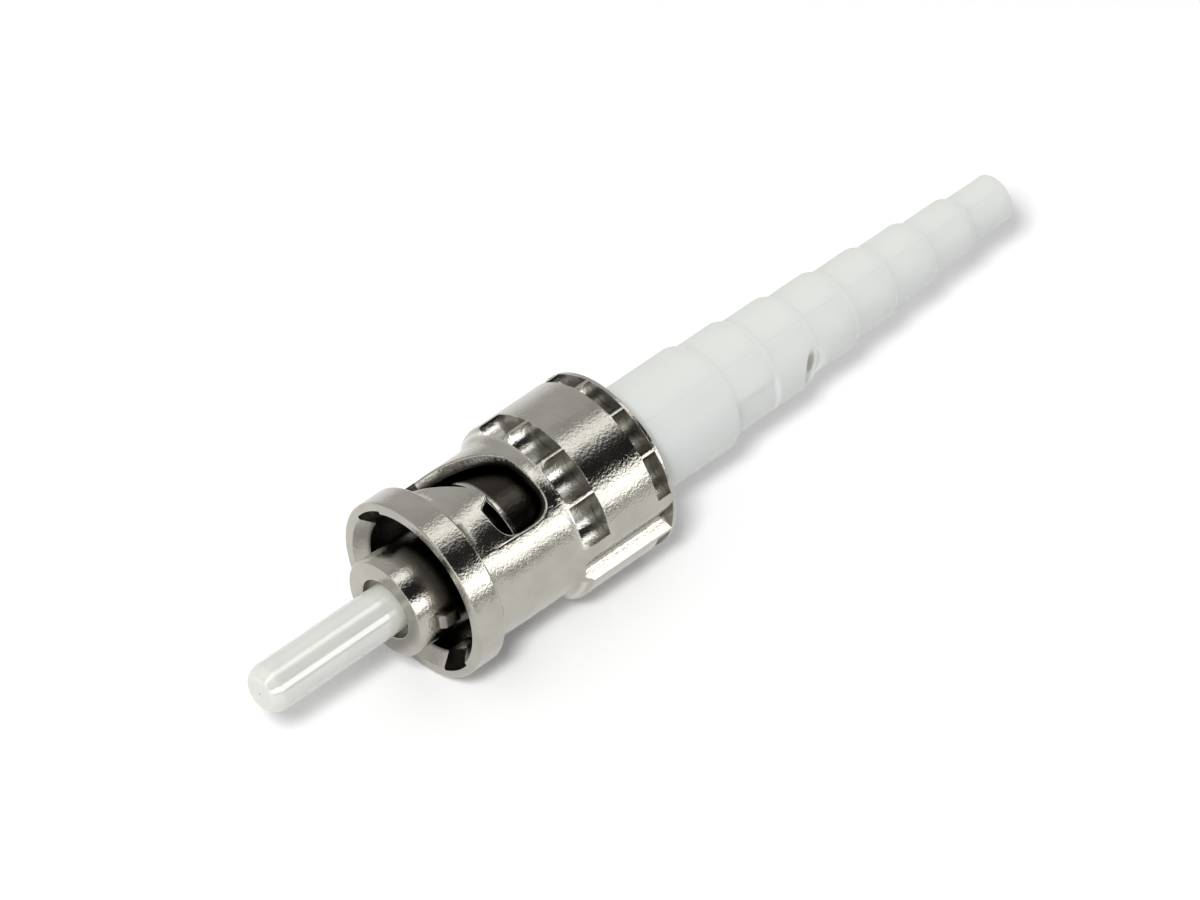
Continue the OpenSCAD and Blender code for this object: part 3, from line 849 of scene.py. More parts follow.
def barrel_profile(s, ferrule):
    """Outline of the barrel's wall."""
    neck = s.neck / 2
    tail = s.tail / 2
    flange_back = s.sleeve_length + s.flange_length
    hole = ferrule.diameter / 2 + FIT
    points = [
        (0.0, s.mouth / 2, s.mouth_edge), (0.0, s.sleeve / 2, s.edge),
        (s.sleeve_length, s.sleeve / 2, 0), (s.sleeve_length, s.flange / 2, s.flange_edge),
        (flange_back, s.flange / 2, s.flange_edge), (flange_back, neck, FLANGE_FOOT),
        (RING_FRONT - RING_GAP, neck, SMALL_EDGE), (RING_FRONT - RING_GAP, neck - s.groove, 0),
        (RING_BACK + RING_GAP, neck - s.groove, 0), (RING_BACK + RING_GAP, neck, SMALL_EDGE),
        (BOOT_FRONT, neck, NECK_EDGE), (BOOT_FRONT, tail, 0),
    ]
    pitch = (BARREL_BACK - BOOT_FRONT) / (s.tail_grooves + 1)
    for i in range(s.tail_grooves):
        middle = BOOT_FRONT + (i + 1) * pitch
        points += [(middle - s.tail_groove, tail, SMALL_EDGE), (middle, tail - s.tail_groove, SMALL_EDGE),
                   (middle + s.tail_groove, tail, SMALL_EDGE)]
    points += [
        (BARREL_BACK - s.tail_groove, tail, TAIL_END_EDGE), (BARREL_BACK, tail - s.tail_groove, 0),
        (BARREL_BACK, s.guide / 2, 0), (FERRULE_BACK, s.guide / 2, 0), (FERRULE_BACK, hole, 0),
        (s.mouth_length, hole, 0), (s.mouth_length, s.mouth / 2, 0),
    ]
    return rounded(points, steps=4)


def key_outline(s, low):
    """The key's side view as (along, radius) points, from a lowest radius up."""
    top = s.sleeve / 2 + s.key_height
    corner = s.key_height / 2
    start = s.key_from + FIT
    end = s.key_from + s.key_length - FIT
    return [(start, low), (start, top - corner), (start + corner, top), (end, top), (end, low)]


def block(name, outline, width, turn):
    """A block of a side view and a width, standing on the barrel at an angle."""
    side = Vector((0.0, -math.cos(turn), -math.sin(turn)))
    up = Vector((0.0, -math.sin(turn), math.cos(turn)))
    points = []
    for half in (-width / 2, width / 2):
        points += [Vector((x, 0, 0)) + up * r + side * half for x, r in outline]
    count = len(outline)
    faces = [list(range(count)), list(range(2 * count - 1, count - 1, -1))]
    faces += [[i, (i + 1) % count, count + (i + 1) % count, count + i] for i in range(count)]
    return make_object(name, np.array([list(point) for point in points]), faces)


class PLUG_OT_barrel(bpy.types.Operator):
    """Makes the turned barrel with the seat for its key, and the key"""

    bl_idname = "plug.make_barrel"
    bl_label = "Barrel and key"

    def execute(self, context):
        s = context.scene.plug_barrel
        profile = barrel_profile(s, context.scene.plug_ferrule)
        barrel = turned("barrel_dressed", profile, columns=192)
        low = s.sleeve / 2 - s.key_seat
        high = s.sleeve / 2 + MM
        seat_back = s.key_from + s.key_length
        seat = [(s.key_from, low), (s.key_from, high), (seat_back, high), (seat_back, low)]
        cutter = block("key_cutter", seat, s.key_width + 2 * FIT, s.key_angle)
        cut = barrel.modifiers.new("Key seat", "BOOLEAN")
        cut.operation = "DIFFERENCE"
        cut.solver = "EXACT"
        cut.object = cutter
        settle(barrel)
        bpy.data.objects.remove(cutter)
        key = block("alignment_key_dressed", key_outline(s, low + FIT), s.key_width, s.key_angle)
        edge = key.modifiers.new("Rounded edges", "BEVEL")
        edge.width = s.key_edge
        edge.segments = 3
        settle(key)
        for piece, node in ((barrel, "barrel"), (key, "alignment_key")):
            smoothed(piece.data, sharp=35)
            dress(piece, "connector", "nickel_brass", node)
        return {"FINISHED"}


# --- spring ---

POINTS_A_TURN = 48.0
WIRE_SIDES = 16
CLOSED_PITCH = 1.02


def spring_tree(values, material):
    """Geometry nodes that wind a compression spring along the axis, with closed turns at both ends."""
    tree, _, v = geometry_tree("Wind spring", values)
    wire = v["Wire"]
    front = v["Front"]
    closed_turns = v["Closed turns"]
    turns = v["Open turns"] + 2.0 * closed_turns
    line = place_node(tree, "GeometryNodeCurvePrimitiveLine", {"End": (1.0, 0.0, 0.0)})
    points = place_node(tree, "GeometryNodeResampleCurve",
                        {"Curve": line.outputs["Curve"], "Count": turns * POINTS_A_TURN})
    step = Field(tree, place_node(tree, "GeometryNodeSplineParameter").outputs["Factor"]) * turns
    closed_pitch = wire * CLOSED_PITCH
    open_pitch = (v["Back"] - front - wire - 2.0 * closed_turns * closed_pitch) / v["Open turns"]
    opened = (step - closed_turns).math("MAXIMUM", 0.0).math("MINIMUM", v["Open turns"])
    x = front + wire / 2.0 + (step - opened) * closed_pitch + opened * open_pitch
    place = point_around(tree, x, v["Coil diameter"] / 2.0, step * FULL_TURN)
    wound = place_node(tree, "GeometryNodeSetPosition",
                       {"Geometry": points.outputs["Curve"], "Position": place})
    section = place_node(tree, "GeometryNodeCurvePrimitiveCircle",
                         {"Resolution": WIRE_SIDES, "Radius": wire / 2.0})
    body = place_node(tree, "GeometryNodeCurveToMesh", {
        "Curve": wound.outputs["Geometry"], "Profile Curve": section.outputs["Curve"], "Fill Caps": True,
    })
    smooth = place_node(tree, "GeometryNodeSetShadeSmooth", {"Geometry": body.outputs["Mesh"]})
    return finish_tree(tree, smooth.outputs["Geometry"], material)


class PLUG_OT_spring(bpy.types.Operator):
    """Winds the spring, and finishes the washer and the retaining ring"""

    bl_idname = "plug.make_spring"
    bl_label = "Spring, washer and ring"

    def execute(self, context):
        s = context.scene.plug_spring
        piece = in_scene("spring_dressed", bpy.data.meshes.new("spring_dressed"))
        values = {
            "Wire": s.wire, "Coil diameter": s.coil, "Open turns": s.open_turns,
            "Closed turns": s.closed_turns, "Front": SPRING_FRONT, "Back": SPRING_BACK,
        }
        run_tree(piece, spring_tree(values, material_for("spring_steel")), values)
        if not piece.data.vertices:
            raise RuntimeError("the spring came out empty")
        dress(piece, "connector", "spring_steel", "spring")
        joints = frame["record"]["behaviour"]["joints"]
        travel = next(joint["range_m"][1] for joint in joints if joint["name"] == "nut_slide")
        1.0 - travel / (SPRING_BACK - SPRING_FRONT)
        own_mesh(piece)
        finish_node("thrust_washer", "spring_steel")
        finish_node("retaining_ring", "spring_steel")
        return {"FINISHED"}


# --- coupling nut ---

# places of the nut's rows in millimetres: from its front, past a wall at a flute's end, and from its back
RIM_ROWS = (0, 0.008, 0.025, 0.055, 0.1, 0.15, 0.3, 0.6, 0.61, 0.9, 1.2, 1.4,
            1.48, 1.52, 1.56, 1.60, 1.64, 1.68, 1.72, 1.76, 1.79)
WALL_ROWS = (-0.12, -0.032, -0.002, 0.002, 0.032, 0.12)
REAR_ROWS = (0.14, 0.10, 0.06, 0.03, 0.01, 0.0)
# distances of the rows beside a slot's edge, in roundings of it, and their share of a narrow band
EDGE_ROWS = (1.6, 1.1, 0.75, 0.45, 0.22, 0.08, 0.0)
EDGE_SHARE = 0.7
SLOT_ROWS = 12
# shares of the bands before and behind the slot where rows lie, the least share of a narrow one, and
# the numbers of rows along the grip's slope, its front and its rear
FRONT_BAND_ROWS = (0.3, 0.6)
FOOT_ROWS = (0.35, 0.7, 1.0)
NARROW_SHARE = 0.3
GRIP_ROWS = (13, 6, 14)
GRIP_FOOT = 0.07 * MM
CLOSEST_PLACES = 0.0035 * MM
# angles of the nut's columns in degrees: past a slot's start, beside its entry's end, past its own end,
# past a flute's edge, and usual
SLOT_COLUMNS = (0, 0.35, 0.8, 1.4)
ENTRY_COLUMN = 0.04
SLOT_END_SHARES = (4e-4, 2e-3, 6e-3, 0.014, 0.027)
LAND_COLUMNS = (0.15, 0.4, 0.8, 1.3, 1.9)
NEXT_SLOT_COLUMNS = (0.08, 0.35, 0.8, 1.4, 2.0)
FLUTE_COLUMNS = (-0.45, 0.0, 0.4)
LONG_FLUTE_COLUMNS = (-0.4, -0.05, 0.3)
COLUMN_STEP = 0.75
CLOSEST_COLUMNS = 0.3

# the slot: where its entry groove ends behind the rim, where its helix starts, and its ramp's curve
ENTRY_END = RIM_ROWS[-1] * MM
ENTRY_STEP = 0.02 * MM
RIM_SHARE = 0.84
HELIX_SHARE = 0.7
RAMP_CURVE = 1.5
WEDGE_FROM = 0.05 * MM
WEDGE_SLOPE = 1.2
ROUNDING_REACH = 0.3 * MM
OUTLINE_POINTS = (1500, 200)
OUTLINE_PARTS = 64
# the flutes: run and share of the upright walls at their ends, and the long flutes' soft side
WALL_STEP = 0.004 * MM
WALL_SHARE = 0.95
LONG_FLUTE_SWELL = 1.18
LONG_FLUTE_SOFT = 0.30 * MM
# the inside: its small edges and its thinnest wall
RECESS_EDGES = (0.02 * MM, 0.08 * MM)
COLLAR_EDGE = 0.05 * MM
THIN_WALL = 0.01 * MM
SMALL = 1e-9


def eased_share(value):
    """Goes softly from 0 to 1 as a value does."""
    t = np.clip(value, 0, 1)
    return t * t * (3 - 2 * t)


def detent_edges(s, turn):
    """Angle of the detent's middle, and the detent's front and rear edges at an angle past it."""
    middle_turn = s.slot_from + s.slot_turn - s.detent_angle
    gone = np.clip((turn - middle_turn) / s.detent_angle, 0, 1)
    half = s.detent / 2 * (1 - gone ** 3) ** (1 / 3)
    middle = s.slot_back - s.detent / 2
    return middle_turn, middle - half, middle + half


def slot_rear(s, turn):
    """Rear edge of the slot at an angle."""
    middle_turn, _, rear = detent_edges(s, turn)
    left = np.clip(s.slot_from + s.ramp_turn - turn, 0, None) / s.ramp_turn
    return np.where(turn < middle_turn, s.slot_back - s.ramp_rise * left ** RAMP_CURVE, rear)


def slot_front(s, turn):
    """Front edge of the slot at an angle: the tongue's helical edge, its rounded tip, then the detent."""
    middle_turn, front, _ = detent_edges(s, turn)
    top = s.slot_back - s.detent
    foot = s.rim_length + RIM_SHARE * s.rim_slope
    helix = foot + s.slot_lead / DEGREE * (turn - s.slot_from - HELIX_SHARE * s.entry_turn)
    tip = top + s.tongue
    edge = tip - s.tongue_round * np.log1p(np.exp((tip - helix) / s.tongue_round))
    fall = eased_share((turn - middle_turn + s.tongue_fall_from) / (s.tongue_fall_from - s.tongue_fall_to))
    tongue = np.maximum(foot, edge - (edge - top) * fall)
    edge = np.where(turn > middle_turn, front, tongue)
    wedge = np.maximum(ENTRY_END + ENTRY_STEP, (edge - foot) * WEDGE_SLOPE + ENTRY_END)
    return np.where(turn < s.slot_from + s.entry_turn, np.minimum(edge, wedge), edge)


def nut_columns(s):
    """Angles of the nut's columns over half a turn from the slot's start, and how many are the slot's."""
    end = s.slot_from + s.slot_turn
    entry_to = s.slot_from + s.entry_turn
    next_slot = s.slot_from + math.pi
    last = [end - s.detent_angle * t for t in SLOT_END_SHARES]
    angles = last + [entry_to - ENTRY_COLUMN * DEGREE, entry_to + ENTRY_COLUMN * DEGREE]
    angles += [s.slot_from + t * DEGREE for t in SLOT_COLUMNS]
    angles += [end + t * DEGREE for t in LAND_COLUMNS]
    angles += [next_slot - t * DEGREE for t in NEXT_SLOT_COLUMNS]
    pitch = FULL_TURN / s.flutes
    half_flute = pitch / 2 * s.flute_share
    usual = [i * pitch + side * (half_flute + t * DEGREE)
             for i in range(-s.flutes, s.flutes) for side in (-1, 1) for t in FLUTE_COLUMNS]
    usual += [s.flutes / 4 * pitch + s.long_lower + t * DEGREE for t in LONG_FLUTE_COLUMNS]
    steps = int(360 / COLUMN_STEP)
    usual += [i * COLUMN_STEP * DEGREE for i in range(-steps, steps)]
    for value in usual:
        apart = min(abs(value - angle) for angle in angles) > CLOSEST_COLUMNS * DEGREE
        if s.slot_from < value < next_slot and apart:
            angles.append(value)
    angles = np.array(sorted(angles))
    return angles, int(np.sum(angles <= last[0] + SMALL))


def nut_rows(s, front, rear):
    """Places of the nut's rows for each column, and the numbers of the rows at the slot's edges."""
    near = np.array(EDGE_ROWS) * s.slot_edge
    reach = near[0]
    band = front - ENTRY_END
    rows = [np.full(len(front), value * MM) for value in RIM_ROWS]
    rows += [ENTRY_END + np.maximum(band - reach, NARROW_SHARE * band) * t for t in FRONT_BAND_ROWS]
    rows += [front - np.minimum(value, band * EDGE_SHARE * value / reach) for value in near]
    first = len(rows) - 1
    rows += [front + (rear - front) * t for t in np.linspace(0, 1, SLOT_ROWS + 1)[1:-1]]
    foot = s.grip_from - GRIP_FOOT
    band = foot - rear
    rows += [rear + np.minimum(value, band * EDGE_SHARE * value / reach) for value in near[::-1]]
    begin = rear + np.minimum(reach, band * EDGE_SHARE)
    rows += [begin + (foot - begin) * t for t in FOOT_ROWS]
    return rows, first, first + SLOT_ROWS


def grip_rows(s, nut_length):
    """Places of the rows along the grip."""
    slope_end = s.grip_from + s.grip_slope
    rim = nut_length - s.rear_rim
    places = [nut_length - t * MM for t in REAR_ROWS]
    for cut in (s.flute_from, s.band_from, s.band_from + s.band_length, rim):
        places += [cut + t * MM for t in WALL_ROWS]
    spans = (s.grip_from, slope_end), (slope_end, s.band_from), (s.band_from, rim)
    for (start, end), count in zip(spans, GRIP_ROWS):
        places += list(np.linspace(start, end, count))
    kept = thinned(places, CLOSEST_PLACES)
    kept[-1] = nut_length
    return kept


def eased(place, low, high, start, reach):
    """Goes from one radius to another over a length, rounded at both ends."""
    t = np.clip((place - start) / reach, 0, 1)
    return low + (high - low) * (1 - np.cos(np.pi * t)) / 2


def edge_round(distance, size):
    """How far a rounded edge lies below its surface at a distance from the edge."""
    inside = np.clip(size - distance, 0, size)
    return size - np.sqrt(np.maximum(size ** 2 - inside ** 2, 0))


def soft_min(a, b, size):
    """The smaller of two radii, with the edge between them rounded."""
    mix = np.clip(0.5 + 0.5 * (b - a) / size, 0, 1)
    return b * (1 - mix) + a * mix - size * mix * (1 - mix)


def flute_radius(turn, grip, depth, width):
    """Radius of a round flute's surface at an angle from its middle."""
    sagitta = grip - math.sqrt(grip ** 2 - width ** 2 / 4)
    deep = depth - sagitta
    radius = (width ** 2 / 4 + deep ** 2) / (2 * deep)
    centre = grip - depth + radius
    inside = radius ** 2 - (centre * np.sin(turn)) ** 2
    return np.where(inside > 0, centre * np.cos(turn) - np.sqrt(np.maximum(inside, 0)), grip + MM)


def long_flute_depth(s, off, grip):
    """Depth of a long flute at an angle past the even spacing: a soft upper side and a steep lower flank."""
    soft_side = LONG_FLUTE_SWELL * s.long_depth * eased_share((off + s.long_upper) / (2 * s.long_upper))
    steep_side = (s.long_lower - off) * grip * math.tan(s.long_flank)
    return np.maximum(soft_min(soft_side, steep_side, LONG_FLUTE_SOFT), 0)


def between(place, start, end, chamfer):
    """One between two places and nothing outside, with an upright wall and a small chamfer at its top."""
    inside = np.minimum(place - start, end - place)
    upright = np.clip(inside / WALL_STEP + 0.5, 0, 1)
    return upright * WALL_SHARE + (1 - WALL_SHARE) * np.clip(1 + inside / chamfer, 0, 1)


def nut_radius(s, place, turn, nut_length):
    """Radius of the nut's outside at a place along it and an angle, without its slots."""
    tube = s.bore / 2 + s.wall
    grip = tube + s.grip_height
    radius = np.where(place < (s.rim_length + s.grip_from) / 2,
                      eased(place, tube + s.rim_height, tube, s.rim_length, s.rim_slope),
                      eased(place, tube, grip, s.grip_from, s.grip_slope))
    pitch = FULL_TURN / s.flutes
    off = (turn + pitch / 2) % pitch - pitch / 2
    past_long = np.round((turn - off) / pitch) % (s.flutes / 2) - s.flutes / 4
    long_one = past_long == 0
    width = 2 * grip * math.sin(pitch / 2 * s.flute_share)
    cut = np.where(long_one, np.minimum(radius, grip - long_flute_depth(s, off, grip)),
                   soft_min(radius, flute_radius(off, grip, s.flute_depth, width), s.flute_edge))
    flute_to = nut_length - s.rear_rim
    behind = between(place, s.band_from + s.band_length, flute_to, s.flute_wall)
    both = np.maximum(between(place, s.flute_from, s.band_from, s.flute_wall), behind)
    whole = between(place, s.flute_from, flute_to, s.flute_wall)
    cut_share = np.where(long_one, whole, np.where(past_long == 1, behind, both))
    radius = radius + (np.minimum(cut, radius) - radius) * cut_share
    return radius - edge_round(place, s.edge) - edge_round(nut_length - place, s.edge)


def outline_distance(s, place, turn, tube):
    """Distance of points on the tube from the slot's outline, unrolled."""
    edge_points, start_points = OUTLINE_POINTS
    steps = s.slot_from + s.slot_turn * np.sin(np.linspace(0, math.pi / 2, edge_points))
    steps[-1] = s.slot_from + s.slot_turn - SLOT_END_SHARES[0] * s.detent_angle
    start = np.linspace(ENTRY_END, slot_rear(s, steps[:1])[0], start_points)
    outline = np.concatenate([
        np.stack([slot_front(s, steps), steps * tube], -1),
        np.stack([slot_rear(s, steps), steps * tube], -1),
        np.stack([start, np.full(start_points, steps[0] * tube)], -1),
    ])
    points = np.stack([place.ravel(), (turn * tube).ravel()], -1)
    nearest = np.full(len(points), 1.0)
    for part in np.array_split(outline, OUTLINE_PARTS):
        gap = points[:, None, :] - part[None, :, :]
        nearest = np.minimum(nearest, np.sqrt((gap ** 2).sum(-1)).min(1))
    return nearest.reshape(place.shape)


def nut_inside(s, nut_length, tube):
    """The nut's inside from its rear face forward to the bore, as (along, radius) points."""
    recess = s.recess / 2
    collar = s.collar / 2
    spring = s.spring_bore / 2
    behind = s.bore_length + s.shoulder
    near, far = RECESS_EDGES
    return [
        (nut_length, (recess + tube) / 2), (nut_length, recess + far), (nut_length - near, recess + near),
        (nut_length - far, recess), (behind, recess), (behind, collar + COLLAR_EDGE),
        (behind - COLLAR_EDGE, collar), (s.bore_length, collar), (s.bore_length, spring),
        (s.grip_from, spring), (s.grip_from, s.bore / 2),
    ]


def nut_mesh(s):
    """Points and faces of the coupling nut: a wall that closes on itself, with two slots through it."""
    nut_length = NUT_BACK - NUT_FRONT
    bore = s.bore / 2
    tube = bore + s.wall
    angles, slot_count = nut_columns(s)
    count = len(angles)
    last = slot_count - 1
    front = slot_front(s, angles)
    rear = slot_rear(s, angles)
    t = eased_share((angles - angles[last]) / (s.slot_from + math.pi - angles[last]))
    blank = np.arange(count) > last
    front = np.where(blank, front[last] + (front[0] - front[last]) * t, front)
    rear = np.where(blank, rear[last] + (rear[0] - rear[last]) * t, rear)
    rows, first, second = nut_rows(s, front, rear)
    shared = len(rows)
    rows += [np.full(count, value) for value in grip_rows(s, nut_length)]
    place = np.array(rows)
    turn = np.broadcast_to(angles, place.shape)
    outer = nut_radius(s, place, turn, nut_length)
    in_groove = (angles >= s.slot_from - SMALL) & (angles < s.slot_from + s.entry_turn)
    inner_place = place[:shared]
    inner = np.maximum(bore, s.lead_in / 2 - (s.lead_in / 2 - bore) * inner_place / s.lead_in_length)
    bare = (inner_place <= ENTRY_END + SMALL) | (front <= ENTRY_END + WEDGE_FROM)
    grooved = in_groove & (np.arange(shared)[:, None] <= first) & bare
    inner = np.where(grooved, s.entry / 2, inner)
    drop = edge_round(outline_distance(s, inner_place, turn[:shared], tube), s.slot_edge)
    outer[:shared] -= drop * np.clip((inner_place - s.rim_length) / ROUNDING_REACH, 0, 1)
    inner = np.minimum(inner, outer[:shared] - THIN_WALL)
    inside = np.repeat(np.array(nut_inside(s, nut_length, tube))[:, None, :], count, 1)
    all_place = np.concatenate([place, inside[..., 0], inner_place[::-1]])
    all_radius = np.concatenate([outer, inside[..., 1], inner[::-1]])
    both = np.concatenate([angles, angles + math.pi])
    points = around(NUT_FRONT + np.tile(all_place, (1, 2)), np.tile(all_radius, (1, 2)), both[None, :])
    return points, nut_faces(len(all_place), 2 * count, first, second, last)


def nut_faces(total, columns, first, second, last):
    """Faces of the nut's wall without its slots, and those of the slots' walls through it."""
    rows = np.arange(total)
    mirrored = total - 1 - rows
    slot_starts = (0, columns // 2)
    open_columns = np.zeros(columns, bool)
    for side in slot_starts:
        open_columns[side:side + last] = True
    outside = (rows >= first) & (rows < second)
    inside = (mirrored > first) & (mirrored <= second)
    hole = (outside | inside)[:, None] & open_columns[None, :]
    faces = grid_faces(total, columns)[~hole].reshape(-1, 4).tolist()

    def wall(row, column, next_row, next_column, flip):
        """A face through the wall, from one point of the outside to the next."""
        quad = [
            row * columns + column % columns, next_row * columns + next_column % columns,
            int(mirrored[next_row]) * columns + next_column % columns,
            int(mirrored[row]) * columns + column % columns,
        ]
        faces.append(quad[::-1] if flip else quad)

    for side in slot_starts:
        for j in range(side, side + last):
            wall(first, j, first, j + 1, False)
            wall(second, j, second, j + 1, True)
        for i in range(first, second):
            wall(i, side, i + 1, side, True)
            wall(i, side + last, i + 1, side + last, False)
    return faces


class PLUG_OT_nut(bpy.types.Operator):
    """Makes the coupling nut with its bayonet slots, front rim and fluted grip"""

    bl_idname = "plug.make_nut"
    bl_label = "Coupling nut"

    def execute(self, context):
        points, faces = nut_mesh(context.scene.plug_nut)
        piece = make_object("coupling_nut_dressed", points, faces, sharp=38)
        dress(piece, "nut", "nickel_casting", "coupling_nut")
        return {"FINISHED"}


# --- boot ---

# the label panel's soft edges and its curve; the gate recess's rim and steepest side; and small edges
PANEL_SOFT = 0.26 * MM
SECTOR_SOFT = math.radians(7)
PANEL_LEAN = 1.5
GATE_RIM = 1.03
STEEPEST = 0.5
ROOT_GUARD = 1e-12
INLET_EDGES = (0.04 * MM, 0.12 * MM)
SOCKET_EDGE = 0.1 * MM

# places of the boot's rows in millimetres: from its front, before the end of its tail, past the middle of
# a step, and beside an edge of the label panel; and how its rows lie over a step and over the gate recess
FRONT_ROWS = (0, 0.02, 0.05, 0.1, 0.15, 0.6, 2.0, 3.5, 5.0)
TAIL_ROWS = (0.5, 0.3, 0.22, 0.16, 0.11, 0.07, 0.04, 0.015, 0.0)
BETWEEN_ROWS = (0.8, 1.4, 2.1)
PANEL_ROWS = (-0.04, 0.04)
STEP_ROWS = 11
GATE_ROWS_REACH = 1.0
GATE_ROW_STEP = 0.05
CLOSEST_ROWS = 0.012

# angles of its columns in degrees: usual, over the label panel, and past that panel's sides
COLUMN_ANGLE = 3.0
PANEL_COLUMN_ANGLE = 1.0
PANEL_REACH = 62
PANEL_SIDE_COLUMNS = (-0.6, 0.6)


def boot_blank(s):
    """A plain bored tube of the boot's length, whose outside the step tree then shapes."""
    boot_length = BOOT_BACK - BOOT_FRONT
    tail = boot_length / MM
    places = list(FRONT_ROWS) + [tail - t for t in TAIL_ROWS]
    for i in range(s.segments):
        middle = (s.base_length + i * s.segment) / MM
        places += list(middle + np.linspace(-0.5, 0.5, STEP_ROWS) * s.step / MM)
        places += [middle + t for t in BETWEEN_ROWS]
    for edge in (s.base_length + s.step / 2, s.base_length + s.segment + s.step / 2,
                 s.base_length + 2 * s.segment - s.step):
        places += [edge / MM + t for t in PANEL_ROWS]
    gate_rows = np.arange(-GATE_ROWS_REACH, GATE_ROWS_REACH + GATE_ROW_STEP / 2, GATE_ROW_STEP)
    places += list(s.gate_from / MM + gate_rows)
    kept = thinned([place for place in places if place <= tail], CLOSEST_ROWS)
    kept[-1] = tail
    socket = s.socket / 2
    tube = s.tube_bore / 2
    inlet = s.inlet / 2
    tube_end = s.socket_length + s.tube_length
    near, far = INLET_EDGES
    profile = np.array([(place * MM, s.diameter / 2) for place in kept] + [
        (boot_length, (inlet + s.tail / 2) / 2), (boot_length, inlet + far),
        (boot_length - near, inlet + near), (boot_length - far, inlet), (tube_end + MM, inlet),
        (tube_end, inlet), (tube_end, tube), (s.socket_length, tube), (s.socket_length, socket),
        (SOCKET_EDGE, socket), (0.0, socket + SOCKET_EDGE),
    ])
    middle = math.degrees(s.panel_angle)
    half = math.degrees(s.panel_width) / 2
    turns = list(np.arange(0, 360, COLUMN_ANGLE))
    turns += list(np.arange(middle - PANEL_REACH, middle + PANEL_REACH, PANEL_COLUMN_ANGLE))
    turns += [middle + side * (half + t) for side in (-1, 1) for t in PANEL_SIDE_COLUMNS]
    turns = np.radians(sorted(set(np.round(np.mod(turns, 360), 4))))
    points = around(BOOT_FRONT + profile[:, None, 0], profile[:, None, 1], turns[None, :])
    faces = grid_faces(len(profile), len(turns)).reshape(-1, 4).tolist()
    return points, faces, len(kept) * len(turns)


def edge_fall(distance, size, guard=0.0):
    """How far a rounded edge lies below its surface, at a distance past the rounding's start."""
    over = distance.math("MAXIMUM", 0.0)
    return size - (size * size - over * over + guard).math("SQRT")


def boot_tree(values, material):
    """Geometry nodes that turn the blank down to the boot's steps, label panel and gate recess."""
    tree, blank, v = geometry_tree("Step boot", values)
    position = place_node(tree, "GeometryNodeInputPosition")
    x, y, z = axes(tree, position.outputs["Position"])
    place = x - v["Front"]
    turn = turn_of(y, z)
    base = v["Base length"]
    segment = v["Segment"]
    half_step = v["Step"] / 2.0

    count = ((place - base + half_step) / segment).math("MAXIMUM", 0.0).math("MINIMUM", v["Segments"])
    whole = count.math("FLOOR").math("MINIMUM", v["Segments"] - 1.0)
    part = ((count - whole) * segment / v["Step"]).clamp()
    step = whole + (1.0 - (part * math.pi).math("COSINE")) / 2.0
    fall = (v["Radius"] - v["Tail radius"]) / v["Segments"]
    radius = v["Radius"] - fall * step

    def soft_edge(value):
        return smooth_step(value, -PANEL_SOFT, PANEL_SOFT)

    off = (turn - v["Panel angle"]).math("WRAP", math.pi, -math.pi)
    lean = v["Panel rise"] * PANEL_LEAN
    core = v["Radius"] - fall * 2.0 + v["Panel rise"] - lean
    sine = off.math("SINE") * lean
    panel = off.math("COSINE") * lean + (core * core - sine * sine).math("SQRT")
    in_first = soft_edge(place - base - half_step) * (1.0 - soft_edge(place - base - segment - half_step))
    in_sector = 1.0 - smooth_step(off.math("ABSOLUTE") - v["Panel width"] / 2.0, -SECTOR_SOFT, SECTOR_SOFT)
    cut_down = (radius - panel).math("MAXIMUM", 0.0) * in_first * in_sector
    second_from = base + segment - half_step
    second_to = base + segment * 2.0 - v["Step"]
    in_second = soft_edge(place - second_from) * (1.0 - soft_edge(place - second_to))
    radius = radius - cut_down + (panel - radius).math("MAXIMUM", 0.0) * in_second

    gate_off = (turn - v["Gate angle"]).math("WRAP", math.pi, -math.pi)
    half_length = v["Gate length"] / 2.0
    reach, facing = oval(gate_off, place - v["Gate from"], radius, v["Gate width"] / 2.0, half_length)
    floor = v["Gate floor"] / gate_off.math("COSINE").math("MAXIMUM", STEEPEST)
    inside = (1.0 - smooth_step(reach, 1.0 - v["Gate edge"] / half_length, GATE_RIM)) * facing
    radius = radius - (radius - floor).math("MAXIMUM", 0.0) * inside
    radius = radius - edge_fall(v["Front edge"] - place, v["Front edge"]) \
        - edge_fall(v["Tail round"] - v["Length"] + place, v["Tail round"], ROOT_GUARD)

    outside = place_node(tree, "GeometryNodeInputNamedAttribute", {"Name": "outside"}, data_type="BOOLEAN")
    shaped = place_node(tree, "GeometryNodeSetPosition", {
        "Geometry": blank, "Position": point_around(tree, x, radius, turn),
        "Selection": outside.outputs["Attribute"],
    })
    return finish_tree(tree, shaped.outputs["Geometry"], material)


